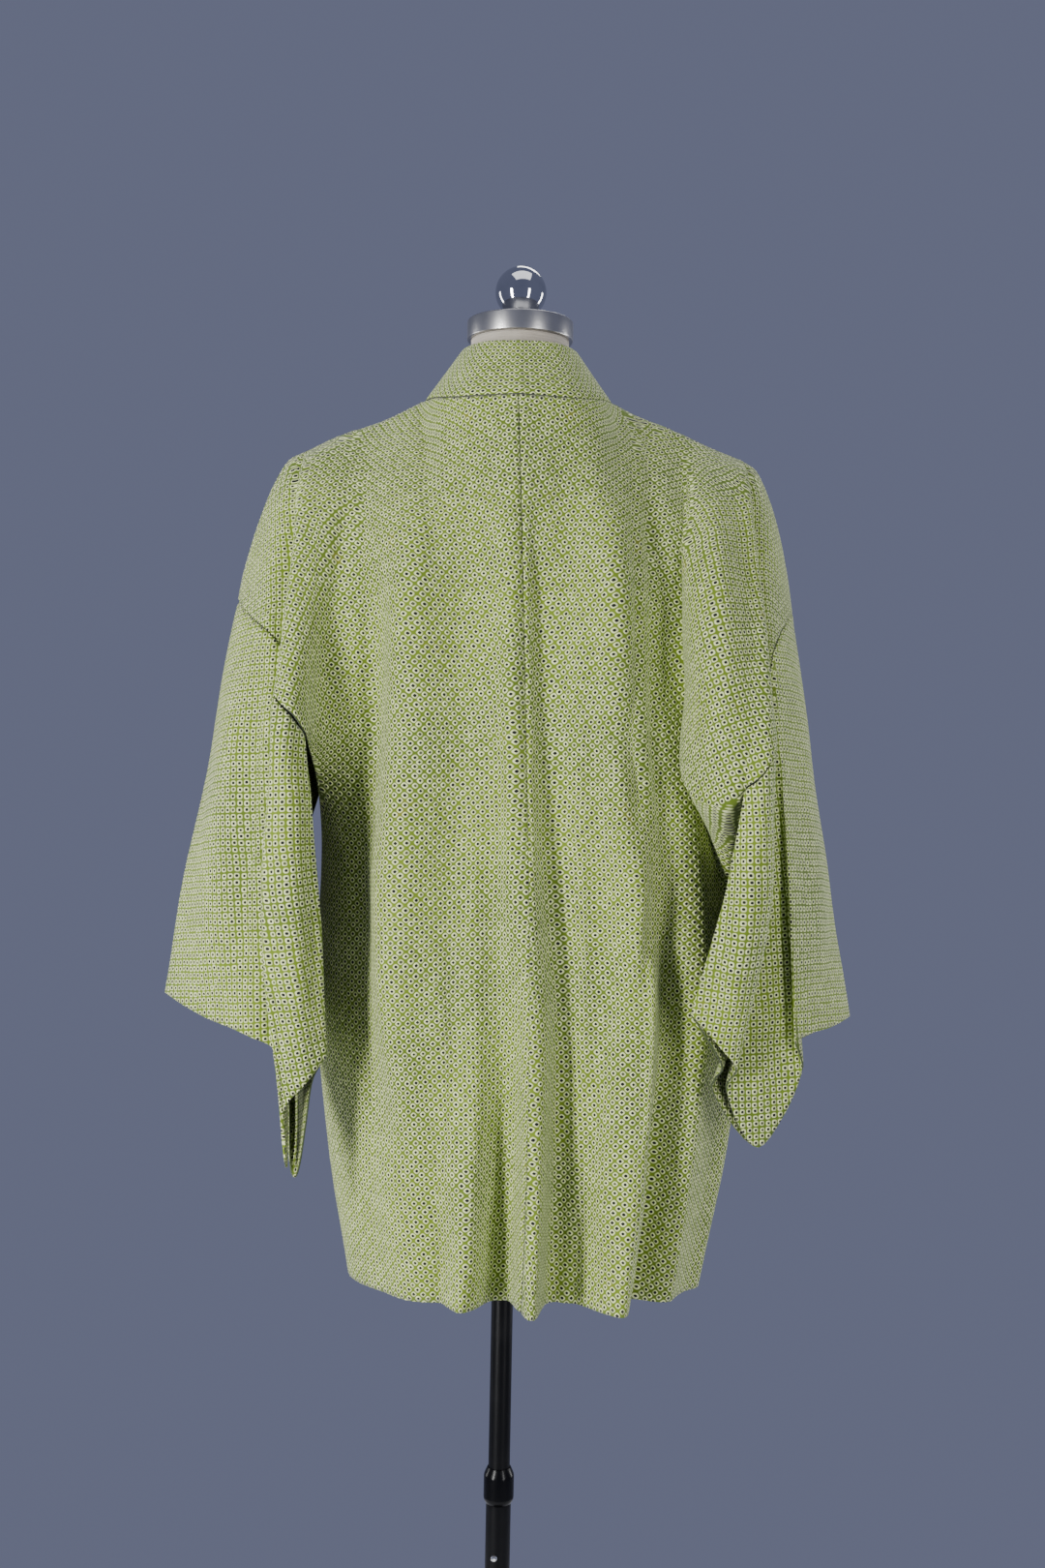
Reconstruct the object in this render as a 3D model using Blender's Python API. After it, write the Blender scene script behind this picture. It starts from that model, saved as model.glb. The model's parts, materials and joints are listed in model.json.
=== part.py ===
"""Haori jacket worn by a limbless dress form on a height-adjustable pole stand.

Metres, +Z up, origin at the centre of the base's underside. The wearer faces +Y and the
wearer's right is +X. Every cloth piece is a thin closed wall built on hanging lines: a line
starts on the shoulder and runs down the cloth, and a piece is the sheet across its lines.
"""
import bpy
import bmesh
import math
import numpy as np

for old in list(bpy.data.objects):
    bpy.data.objects.remove(old, do_unlink=True)

# ---------------------------------------------------------------- driving sizes
CLOTH = 0.0016            # wall of a cloth piece
COLLAR_CLOTH = 0.0030     # wall of the doubled collar
SEAM_GAP = 0.0008         # space left between two sewn pieces
SHOULDER_LOW = 1.18       # height of the level just under the arms
SLEEVE_MID = 1.04         # height of the level half way down the sleeves
HEM = 0.712               # height of the hem
NECK_HALF = 0.0850        # half width of the neck opening on the shoulder
TUBE_POWER = 2.5          # squareness of the body's plan
SIDE_EDGE = 0.455         # back panel's side edge, share of the way round to the front
GUSSET_TOP = 1.095        # height where the gusset starts
GUSSET_TOP_SHARE = 0.012  # gusset's width at its top, share of the half round
GUSSET_HEM_SHARE = 0.125  # and at the hem
BACK_SHARE = 0.335        # share of the way round at the back of the armhole
FRONT_SHARE = 0.62        # and at its front
NECK_GAP = 0.0022         # body's edge from the collar's sewn edge
BLEND = 0.13              # drop over which the cloth below the armhole settles on the body
ARMHOLE_BLEND = 0.17      # and at the armhole folds, which turn in under the arm
NECK_LINES = 6            # hanging lines from centre back to the side of the neck
SHOULDER_LINES = 9        # and from there to the armhole, back and front alike
UPPER_ROWS = 8            # rows from the shoulder to underarm level
LOWER_ROWS = 12           # rows from there to the hem
SLEEVE_ROWS = 10          # rows from sleeve seam to sleeve bottom
DROP_ROWS = UPPER_ROWS

TUBE_R = 0.0110
TUBE_BORE = 0.0098
MAST_R = 0.0095
MAST_BORE = 0.0078
LOCK_R = 0.0134
LOCK_LOW = 0.507
LOCK_HIGH = 0.539
BASE_R = 0.180
BASE_T = 0.012
TORSO_LOW = 0.800
CAP_LOW = 1.5375
CAP_HIGH = 1.5545
CAP_R = 0.0470
BALL_R = 0.0228
BALL_MID = 1.5812

SIDES = {"left": -1.0, "right": 1.0}

# plan of the hanging body: height, sideways shift, half width, half depth back and front
BODY_PLAN = (
    (1.180, 0.012, 0.168, 0.114, 0.122),
    (1.100, 0.015, 0.176, 0.114, 0.128),
    (1.000, 0.018, 0.182, 0.112, 0.128),
    (0.850, 0.019, 0.173, 0.102, 0.122),
    (0.700, 0.016, 0.146, 0.090, 0.112),
)
# shoulder line of the cloth: distance out, height
SHOULDER = {
    "left": ((0.070, 1.4880), (0.088, 1.4780), (0.120, 1.4630), (0.159, 1.4500), (0.186, 1.4360)),
    "right": ((0.070, 1.4895), (0.096, 1.4745), (0.136, 1.4590), (0.166, 1.4455), (0.197, 1.4340)),
}
# folds of the body: share of the half round (wearer's left is minus) at underarm, mid and
# hem, reach to each side, and height at underarm, mid and hem
BODY_FOLDS = (
    ("centre ridge", -0.012, 0.006, 0.018, 0.040, 0.036, 0.006, 0.018, 0.050),
    ("centre valley", 0.055, 0.058, 0.060, 0.030, 0.040, -0.006, -0.010, -0.004),
    ("left valley", -0.060, -0.058, -0.040, 0.040, 0.030, -0.002, -0.008, -0.006),
    ("left broad ridge", -0.190, -0.226, -0.205, 0.100, 0.110, 0.012, 0.020, 0.012),
    ("left hem ridge", -0.075, -0.080, -0.108, 0.060, 0.045, 0.000, 0.003, 0.034),
    ("left edge ridge", -0.330, -0.345, -0.350, 0.050, 0.040, 0.010, 0.000, 0.004),
    ("left side fold", -0.420, -0.430, -0.425, 0.050, 0.050, 0.000, 0.008, 0.012),
    ("right ridge", 0.145, 0.200, 0.186, 0.085, 0.030, 0.010, 0.020, 0.044),
    ("right valley", 0.225, 0.238, 0.232, 0.025, 0.035, -0.006, -0.006, -0.004),
    ("right side ridge", 0.300, 0.300, 0.290, 0.060, 0.060, 0.000, 0.012, 0.016),
    ("right side fold", 0.410, 0.415, 0.405, 0.050, 0.045, 0.000, 0.006, 0.012),
    ("left front fold", -0.640, -0.650, -0.655, 0.050, 0.060, 0.006, 0.014, 0.020),
    ("left front inner fold", -0.755, -0.765, -0.770, 0.040, 0.040, 0.004, 0.008, 0.014),
    ("right front fold", 0.630, 0.645, 0.660, 0.060, 0.050, 0.006, 0.012, 0.022),
    ("right front inner fold", 0.745, 0.755, 0.765, 0.040, 0.040, 0.003, 0.010, 0.012),
)
# armhole folds that stay on the body: place on the shoulder line, then distance out, distance
# forward and height at underarm level. The last row is the underarm point
ARMHOLE_FOLDS = {
    ("left", "back"): (
        ("valley", 0.148, 0.1600, -0.0960, 1.180),
        ("underarm", 0.164, 0.1690, -0.1300, 1.183),
    ),
    ("right", "back"): (
        ("valley", 0.146, 0.1375, -0.0930, 1.166),
        ("inner bulge", 0.156, 0.1465, -0.1270, 1.136),
        ("bulge", 0.168, 0.1720, -0.1530, 1.132),
        ("underarm", 0.180, 0.1947, -0.1480, 1.144),
    ),
    ("left", "front"): (
        ("valley", 0.148, 0.1560, 0.0900, 1.180),
        ("underarm", 0.164, 0.1720, 0.1120, 1.176),
    ),
    ("right", "front"): (
        ("valley", 0.146, 0.1520, 0.0970, 1.180),
        ("inner bulge", 0.156, 0.1620, 0.1060, 1.172),
        ("bulge", 0.168, 0.1720, 0.1180, 1.166),
        ("underarm", 0.180, 0.1860, 0.1160, 1.160),
    ),
}
# folds of shoulder drop and sleeve, from the underarm round to the outer edge: place on the
# shoulder line, out and forward at underarm level, out and forward half way down, height
# of the sleeve seam, then out, forward and height of the fold's lower end
SLEEVE_FOLDS = {
    ("left", "back"): (
        ("open edge", 0.164, 0.1690, -0.1300, 0.1526, -0.1340, 1.183, 0.1465, -0.1200, 0.9200),
        ("column", 0.176, 0.1800, -0.1470, 0.1750, -0.1510, 1.198, 0.1640, -0.1290, 0.8960),
        ("near edge", 0.182, 0.1905, -0.1460, 0.1900, -0.1480, 1.208, 0.1815, -0.1210, 0.8720),
        ("column edge", 0.186, 0.1955, -0.1370, 0.1990, -0.1380, 1.219, 0.1775, -0.1150, 0.8265),
        ("tuck", 0.186, 0.1840, -0.0880, 0.1850, -0.0860, 1.238, 0.1850, -0.0880, 0.9060),
        ("outer ridge", 0.186, 0.2090, -0.0890, 0.2140, -0.0930, 1.266, 0.2110, -0.0950, 0.9290),
        ("outer face", 0.186, 0.2380, -0.0620, 0.2500, -0.0640, 1.284, 0.2560, -0.0640, 0.9410),
    ),
    ("left", "front"): (
        ("open edge", 0.164, 0.1720, 0.1120, 0.1930, 0.0250, 1.176, 0.1465, -0.1160, 0.9195),
        ("column", 0.176, 0.1850, 0.1280, 0.2030, 0.0420, 1.192, 0.1600, -0.1170, 0.8950),
        ("near edge", 0.182, 0.1950, 0.1260, 0.2100, 0.0440, 1.205, 0.1690, -0.1100, 0.8270),
        ("column edge", 0.186, 0.2020, 0.1140, 0.2140, 0.0330, 1.214, 0.1760, -0.1060, 0.8262),
        ("tuck", 0.186, 0.1980, 0.0940, 0.2200, 0.0280, 1.236, 0.1850, -0.0700, 0.9080),
        ("outer valley", 0.186, 0.2080, 0.0740, 0.2220, 0.0080, 1.262, 0.2090, -0.0400, 0.9240),
        ("outer face", 0.186, 0.2380, 0.0520, 0.2520, 0.0360, 1.282, 0.2520, 0.0060, 0.9280),
    ),
    ("right", "back"): (
        ("open edge", 0.180, 0.1947, -0.1480, 0.1684, -0.1480, 1.144, 0.1490, -0.1390, 0.9620),
        ("inner face", 0.190, 0.2060, -0.1560, 0.1920, -0.1580, 1.158, 0.1770, -0.1400, 0.9310),
        ("inner edge", 0.197, 0.2140, -0.1400, 0.2103, -0.1440, 1.186, 0.1890, -0.1290, 0.9140),
        ("tuck", 0.197, 0.2040, -0.1080, 0.2050, -0.1130, 1.215, 0.1810, -0.1150, 0.8960),
        ("middle face", 0.197, 0.2110, -0.1040, 0.2170, -0.1060, 1.228, 0.2102, -0.1060, 0.8480),
        ("middle edge", 0.197, 0.2180, -0.0990, 0.2350, -0.0970, 1.242, 0.2480, -0.0950, 0.9085),
        ("outer lip", 0.197, 0.2245, -0.0980, 0.2315, -0.1120, 1.262, 0.2370, -0.1110, 0.9370),
        ("outer face", 0.197, 0.2450, -0.0640, 0.2620, -0.0670, 1.288, 0.2750, -0.0670, 0.9430),
    ),
    ("right", "front"): (
        ("open edge", 0.180, 0.1860, 0.1160, 0.2240, -0.0050, 1.160, 0.1490, -0.1345, 0.9615),
        ("inner face", 0.190, 0.1980, 0.1280, 0.2260, 0.0110, 1.172, 0.1700, -0.1345, 0.9305),
        ("inner edge", 0.197, 0.2120, 0.1140, 0.2320, 0.0040, 1.196, 0.1760, -0.1285, 0.9145),
        ("tuck", 0.197, 0.2090, 0.0920, 0.2340, -0.0080, 1.218, 0.1690, -0.1130, 0.8950),
        ("middle face", 0.197, 0.2110, 0.0800, 0.2370, -0.0220, 1.230, 0.2095, -0.0990, 0.8485),
        ("middle edge", 0.197, 0.2200, 0.0740, 0.2430, -0.0160, 1.244, 0.2400, -0.0930, 0.9085),
        ("outer valley", 0.197, 0.2230, 0.0640, 0.2500, 0.0020, 1.264, 0.2440, -0.0520, 0.9240),
        ("outer face", 0.197, 0.2450, 0.0480, 0.2660, 0.0320, 1.286, 0.2720, 0.0000, 0.9300),
    ),
}
# outermost fold of each sleeve, shared by back and front, same columns
SLEEVE_OUTER = {
    "left": ("outer edge", 0.186, 0.2660, -0.0060, 0.2915, -0.0120, 1.303, 0.3050, -0.0180, 0.9570),
    "right": ("outer edge", 0.197, 0.2630, -0.0060, 0.2845, -0.0100, 1.301, 0.3015, -0.0180, 0.9470),
}
# the collar's two long edges, for the wearer's right: inner edge out, forward and height, then
# the sewn edge out, forward and height
COLLAR = (
    ("nape", 0.000, -0.0560, 1.5250, 0.000, -0.0920, 1.4720),
    ("nape side", 0.031, -0.0480, 1.5250, 0.048, -0.0750, 1.4725),
    ("neck side", 0.0500, -0.0160, 1.5230, 0.0790, -0.0230, 1.4800),
    ("neck front", 0.0515, 0.0200, 1.5080, 0.0800, 0.0240, 1.4720),
    ("collarbone", 0.0430, 0.0720, 1.4520, 0.0880, 0.0700, 1.4330),
    ("chest", 0.0400, 0.1240, 1.3400, 0.0940, 0.1220, 1.3300),
    ("bust", 0.0420, 0.1480, 1.2200, 0.0970, 0.1420, 1.2180),
    ("waist", 0.0430, 0.1460, 1.0000, 0.0985, 0.1400, 1.0000),
    ("hem", 0.0440, 0.1320, 0.7100, 0.0990, 0.1250, 0.7120),
)
# form: height, half width, half depth back and front, squareness
TORSO = (
    (0.800, 0.118, 0.072, 0.078, 2.2),
    (0.803, 0.128, 0.080, 0.086, 2.2),
    (0.840, 0.142, 0.088, 0.092, 2.3),
    (0.900, 0.147, 0.090, 0.096, 2.3),
    (0.980, 0.136, 0.084, 0.090, 2.3),
    (1.060, 0.116, 0.076, 0.086, 2.2),
    (1.120, 0.122, 0.082, 0.098, 2.2),
    (1.190, 0.136, 0.090, 0.112, 2.3),
    (1.240, 0.144, 0.094, 0.114, 2.4),
    (1.300, 0.152, 0.094, 0.094, 2.5),
    (1.360, 0.164, 0.078, 0.060, 2.3),
    (1.390, 0.165, 0.062, 0.044, 2.0),
    (1.410, 0.160, 0.052, 0.036, 1.9),
    (1.425, 0.1535, 0.044, 0.032, 1.8),
    (1.435, 0.1434, 0.040, 0.030, 1.75),
    (1.445, 0.1270, 0.037, 0.030, 1.7),
    (1.455, 0.1110, 0.036, 0.030, 1.7),
    (1.465, 0.0880, 0.037, 0.031, 1.8),
    (1.476, 0.0640, 0.039, 0.034, 1.9),
    (1.488, 0.0500, 0.041, 0.036, 2.0),
    (1.500, 0.0435, 0.0425, 0.039, 2.0),
    (1.5372, 0.0435, 0.0435, 0.0435, 2.0),
)

# ---------------------------------------------------------------- materials
COLOURS = {
    "cloth": ((0.42, 0.52, 0.13, 1.0), 0.8, 0.0),
    "cream": ((0.78, 0.73, 0.62, 1.0), 0.85, 0.0),
    "steel": ((0.62, 0.62, 0.60, 1.0), 0.3, 1.0),
    "chrome": ((0.85, 0.85, 0.86, 1.0), 0.08, 1.0),
    "black": ((0.015, 0.015, 0.016, 1.0), 0.35, 0.0),
}


def material(slot):
    """One Principled material for one sub-part."""
    colour, rough, metal = COLOURS[slot.split(".")[-1]]
    made = bpy.data.materials.new(slot)
    made.use_nodes = True
    shader = made.node_tree.nodes["Principled BSDF"]
    shader.inputs["Base Color"].default_value = colour
    shader.inputs["Roughness"].default_value = rough
    shader.inputs["Metallic"].default_value = metal
    return made


parts = bpy.data.collections.new("haori_on_form")
cutters = bpy.data.collections.new("cutters")
bpy.context.scene.collection.children.link(parts)
bpy.context.scene.collection.children.link(cutters)


def add_object(name, mesh, slot):
    made = bpy.data.objects.new(name, mesh)
    mesh.materials.append(material(name + "." + slot))
    parts.objects.link(made)
    return made


# ---------------------------------------------------------------- curve helpers
def ease(t):
    """0 to 1 with flat ends."""
    t = np.clip(t, 0.0, 1.0)
    return t * t * (3.0 - 2.0 * t)


def curve(knots, rows, at):
    """Smooth curve through rows (one row per knot), read at the places in `at`."""
    knots, rows = np.asarray(knots, float), np.asarray(rows, float)
    at = np.atleast_1d(at).astype(float)
    slope = np.gradient(rows, knots, axis=0)
    k = np.clip(np.searchsorted(knots, at, side="right") - 1, 0, len(knots) - 2)
    step = knots[k + 1] - knots[k]
    t = (at - knots[k]) / step
    shape = (-1,) + (1,) * (rows.ndim - 1)
    t, step = t.reshape(shape), step.reshape(shape)
    return ((2 * t**3 - 3 * t**2 + 1) * rows[k] + (t**3 - 2 * t**2 + t) * step * slope[k]
            + (3 * t**2 - 2 * t**3) * rows[k + 1] + (t**3 - t**2) * step * slope[k + 1])


def by_height(table, height):
    """Row of a table whose first column is a falling height."""
    table = np.asarray(table, float)
    rows = curve(-table[:, 0], table[:, 1:], -np.atleast_1d(np.clip(height, table[-1, 0], table[0, 0])))
    return rows[0]


def fold_push(share, height):
    """How far the folds push the body cloth outward at a signed share round."""
    level = np.clip((SHOULDER_LOW - height) / (SHOULDER_LOW - HEM), 0.0, 1.0)
    push = 0.0
    for _, top, mid, low, left, right, h_top, h_mid, h_low in BODY_FOLDS:
        place = np.interp(level, (0.0, 0.45, 1.0), (top, mid, low))
        tall = np.interp(level, (0.0, 0.45, 1.0), (h_top, h_mid, h_low))
        reach = left if share < place else right
        t = min(abs(share - place) / reach, 1.0)
        push += tall * (0.5 + 0.5 * math.cos(math.pi * t))
    return push


def body_point(sign, share, height):
    """Point of the hanging body: share 0 is centre back, 1 is centre front."""
    shift, half, back, front = by_height(BODY_PLAN, height)
    turn = np.linspace(0.0, math.pi, 61)
    wide = half * np.abs(np.sin(turn)) ** (2 / TUBE_POWER)
    deep = np.where(turn < math.pi / 2, back, front)
    fore = -deep * np.sign(np.cos(turn)) * np.abs(np.cos(turn)) ** (2 / TUBE_POWER)
    run = np.concatenate(([0.0], np.cumsum(np.hypot(np.diff(wide), np.diff(fore)))))
    run /= run[-1]
    x, y = np.interp(share, run, wide), np.interp(share, run, fore)
    tx = np.interp(share + 0.01, run, wide) - math.copysign(1.0, share - 0.01) * np.interp(
        abs(share - 0.01), run, wide)
    ty = np.interp(share + 0.01, run, fore) - np.interp(abs(share - 0.01), run, fore)
    size = math.hypot(tx, ty)
    push = fold_push(sign * share, height)
    x, y = x + push * ty / size, y - push * tx / size
    return np.array((shift + sign * x, y, height))


# ---------------------------------------------------------------- hanging lines
def shoulder_point(side, out):
    """Point of the cloth on the shoulder line."""
    table = SHOULDER[side]
    height = curve([r[0] for r in table], [[r[1]] for r in table], out)[0, 0]
    return np.array((SIDES[side] * out, -0.006, height))


def collar_edge(side, along, edge):
    """Collar's inner or sewn edge at a place along it (in rows of the table)."""
    first = 1 if edge == "inner" else 4
    rows = [r[first:first + 3] for r in COLLAR]
    x, y, z = curve(range(len(rows)), rows, along)[0]
    return np.array((SIDES[side] * x, y, z))


def body_neck(side, along):
    """Body's neck edge, a gap beyond the collar's sewn edge."""
    inner, sewn = collar_edge(side, along, "inner"), collar_edge(side, along, "sewn")
    return sewn + (sewn - inner) / np.linalg.norm(sewn - inner) * NECK_GAP


def upper_line(start, end, rows, sweep):
    """Cloth from the shoulder down to underarm level, round over the shoulder."""
    line = []
    for w in np.linspace(0.0, 1.0, rows + 1):
        fall = w ** 1.35
        out = fall ** 0.9
        fore = 1.0 - (1.0 - min(fall / sweep, 1.0)) ** 2.4
        x = start[0] + (end[0] - start[0]) * out
        y = start[1] + (end[1] - start[1]) * fore
        z = start[2] + (end[2] - start[2]) * fall
        line.append((x, y, z))
    return line


def lower_line(sign, share, top, rows, hem):
    """Cloth from underarm level to the hem, settling on the body."""
    line = []
    shift = np.array(top) - body_point(sign, share, SHOULDER_LOW)
    for w in np.linspace(0.0, 1.0, rows + 1)[1:]:
        height = top[2] + (hem - top[2]) * w
        left = 1.0 - ease((top[2] - height) / BLEND)
        point = body_point(sign, share, min(height, SHOULDER_LOW)) + np.append(shift[:2] * left, 0.0)
        point[2] = height
        line.append(point)
    return line


def side_share(face, height):
    """Share round at the panel's side edge, which the gusset parts."""
    if face == "back":
        return SIDE_EDGE
    open_by = np.clip((GUSSET_TOP - height) / (GUSSET_TOP - HEM), 0.0, 1.0)
    return SIDE_EDGE + GUSSET_TOP_SHARE + (GUSSET_HEM_SHARE - GUSSET_TOP_SHARE) * open_by


def sleeve_point(side, fold, height):
    """Point of one sleeve fold at a height."""
    _, place, x_arm, y_arm, x_low, y_low, _, x_end, y_end, z_end = fold
    top = shoulder_point(side, place)
    if height >= SHOULDER_LOW:
        w = (top[2] - height) / (top[2] - SHOULDER_LOW)
        x = abs(top[0]) + (x_arm - abs(top[0])) * w ** 0.48
        y = top[1] + (y_arm - top[1]) * w ** 0.62
        return np.array((SIDES[side] * x, y, height))
    knots = (-SHOULDER_LOW, -SLEEVE_MID, -z_end)
    x, y = curve(knots, ((x_arm, y_arm), (x_low, y_low), (x_end, y_end)), -height)[0]
    return np.array((SIDES[side] * x, y, height))


def sleeve_folds(side, face):
    return SLEEVE_FOLDS[side, face] + (SLEEVE_OUTER[side],)


def drop_line(side, fold, rows):
    """Shoulder drop along one fold, from the shoulder tip to the sleeve seam."""
    top, low = shoulder_point(side, fold[1])[2], fold[6]
    return [sleeve_point(side, fold, top + (low - top) * w ** 1.35) if w > 0
            else shoulder_point(side, fold[1]) for w in np.linspace(0.0, 1.0, rows + 1)]


def back_line(side, n, upper, lower):
    """One hanging line of the back: n 0 is the centre back seam."""
    sign = SIDES[side]
    t = n / (NECK_LINES + SHOULDER_LINES)
    share = max(t * BACK_SHARE, SEAM_GAP * 0.6)
    centre = np.array((SEAM_GAP / 2 * sign if n == 0 else 0.0, 0.0, 0.0))
    if n < NECK_LINES:
        top = body_neck(side, 2.0 * n / NECK_LINES) + centre
    else:
        top = shoulder_point(side, shoulder_place(side, (n - NECK_LINES) / SHOULDER_LINES))
    end = body_point(sign, share, SHOULDER_LOW)
    return upper_line(top, end, upper, 0.72) + lower_line(sign, share, end, lower, HEM)


def shoulder_place(side, t):
    """Distance out on the shoulder line, t 0 at the neck and 1 at the armhole."""
    return NECK_HALF + (ARMHOLE_FOLDS[side, "back"][0][1] - NECK_HALF) * t


def body_lines(side, face, upper, lower):
    """All hanging lines of one face of a body piece, from its centre edge outward."""
    sign = SIDES[side]
    holes = ARMHOLE_FOLDS[side, face]
    if face == "back":
        lines = [back_line(side, n, upper, lower) for n in range(NECK_LINES + SHOULDER_LINES)]
    else:
        lines = [front_line(side, n / SHOULDER_LINES, upper, lower) for n in range(SHOULDER_LINES)]
    first = BACK_SHARE if face == "back" else FRONT_SHARE
    for n, (_, place, x, y, z) in enumerate(holes):
        top, end = shoulder_point(side, place), np.array((sign * x, y, z))
        if n == len(holes) - 1:
            fold = sleeve_folds(side, face)[0]
            line = drop_line(side, fold, upper)
            end = np.array(line[-1])
        else:
            line = upper_line(top, end, upper, 0.8)
        t = (n + 1) / len(holes)
        down = []
        for w in np.linspace(0.0, 1.0, lower + 1)[1:]:
            height = end[2] + (HEM - end[2]) * w
            edge = side_share(face, height)
            gap = SEAM_GAP if face == "front" else 0.0
            share = first + (edge - first) * t
            left = max(1.0 - (end[2] - height) / ARMHOLE_BLEND, 0.0) ** 3
            start_share = first + (side_share(face, SHOULDER_LOW) - first) * t
            shift = end - body_point(sign, start_share, SHOULDER_LOW)
            point = body_point(sign, share, min(height, SHOULDER_LOW))
            point = point + np.append(shift[:2] * left, 0.0)
            point[1] += gap
            point[2] = height
            down.append(point)
        lines.append(list(line) + down)
    return lines


def front_line(side, t, upper, lower):
    """One hanging line of a front: t 0 is the edge sewn to the collar."""
    sign = SIDES[side]
    top = shoulder_point(side, shoulder_place(side, t))
    line = []
    rows = upper + lower
    for j in range(rows + 1):
        if j <= upper:
            fall = (j / upper) ** 1.2
            height = top[2] + (SHOULDER_LOW - top[2]) * fall
        else:
            height = SHOULDER_LOW + (HEM - SHOULDER_LOW) * (j - upper) / lower
        edge = sewn_edge_at(side, height)
        share = 0.80 + (FRONT_SHARE - 0.80) * t
        hang = body_point(sign, share, min(height, SHOULDER_LOW))
        full = body_point(sign, 0.80, min(height, SHOULDER_LOW))
        shift = edge - full
        hang = hang + np.append(shift[:2] * (1.0 - t) ** 1.5, 0.0)
        if height > SHOULDER_LOW:
            w = (top[2] - height) / (top[2] - SHOULDER_LOW)
            sweep = 1.0 - (1.0 - min(w / 0.8, 1.0)) ** 2.0
            x = top[0] + (hang[0] - top[0]) * w
            y = top[1] + (hang[1] - top[1]) * sweep
            near = (1.0 - t) ** 2
            x, y = x + (edge[0] - x) * near * ease(w * 8), y + (edge[1] - y) * near * ease(w * 8)
            hang = np.array((x, y, height))
        hang[2] = height
        line.append(hang)
    return line


def sewn_edge_at(side, height):
    """Collar's sewn edge at a height on the front, moved out by the seam gap."""
    rows = COLLAR[2:]
    heights = [-r[6] for r in rows]
    x, y = curve(heights, [(r[4], r[5]) for r in rows], -min(height, rows[0][6]))[0]
    return np.array((SIDES[side] * (x + NECK_GAP), y, height))


# ---------------------------------------------------------------- thin walls
def places_between(cuts):
    """Places of `cuts[k]` even steps between line k and the next."""
    return [k + i / count for k, count in enumerate(cuts) for i in range(count)] + [float(len(cuts))]


def refine(lines, cuts):
    """Adds `cuts[k] - 1` smooth lines between line k and the next."""
    return curve(range(len(lines)), lines, places_between(cuts))


def straight(points, cuts):
    """The same steps along straight pieces between points."""
    points = np.asarray(points, float)
    at = places_between(cuts)
    return np.stack([np.interp(at, range(len(points)), points[:, c]) for c in range(3)], axis=1)


def soften(lines, first, hold):
    """Rounds the folds from line `first` on, so the wall turns without pinching.

    Each point moves level towards its neighbours; a higher hold moves it less.
    """
    lines = lines.copy()
    near = lines[first - 1:-2, :, :2] + lines[first + 1:, :, :2]
    lines[first:-1, :, :2] = (near + hold * lines[first:-1, :, :2]) / (2 + hold)
    return lines


def thin_wall(name, grids, beyond, thick, slot):
    """Closed thin solid from grids of quads. Points that coincide are one point.

    The strips in `beyond` lie past a seam: they steer the wall's direction there and
    add no faces, so two sewn pieces meet edge to edge.
    """
    index, points, faces = {}, [], []
    own = 0

    def corner(point):
        key = tuple(int(round(c * 2e5)) for c in point)
        if key not in index:
            index[key] = len(points)
            points.append(point)
        return index[key]

    for n, (grid, flip) in enumerate(list(grids) + list(beyond)):
        if n == len(grids):
            own = len(faces)
        for i in range(len(grid) - 1):
            for j in range(len(grid[0]) - 1):
                ring = [corner(grid[a][b]) for a, b in ((i, j), (i + 1, j), (i + 1, j + 1), (i, j + 1))]
                ring = [v for k, v in enumerate(ring) if v != ring[k - 1]]
                if len(set(ring)) >= 3:
                    faces.append(ring[::-1] if flip else ring)
    own = own or len(faces)
    points = np.array(points)
    normal = np.zeros_like(points)
    for ring in faces:
        p = points[ring]
        out = sum(np.cross(p[n] - p[0], p[n + 1] - p[0]) for n in range(1, len(ring) - 1))
        out /= max(np.linalg.norm(out), 1e-12)
        normal[ring] += out
    normal /= np.maximum(np.linalg.norm(normal, axis=1), 1e-9)[:, None]
    faces = faces[:own]
    used = sorted({v for ring in faces for v in ring})
    place = {v: k for k, v in enumerate(used)}
    points, normal = points[used], normal[used]
    faces = [[place[v] for v in ring] for ring in faces]
    count = len(points)
    both = np.vstack((points + normal * thick / 2, points - normal * thick / 2))
    shell = [list(r) for r in faces] + [[v + count for v in reversed(r)] for r in faces]
    edges = {}
    for ring in faces:
        for n, v in enumerate(ring):
            pair = (ring[n - 1], v)
            edges[pair] = edges.get(pair, 0) + 1
    for a, b in edges:
        if (b, a) not in edges:
            shell.append([b, a, a + count, b + count])
    mesh = bpy.data.meshes.new(name)
    mesh.from_pydata([tuple(p) for p in both], [], shell)
    mesh.validate()
    mesh.update()
    return add_object(name, mesh, slot)


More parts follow.
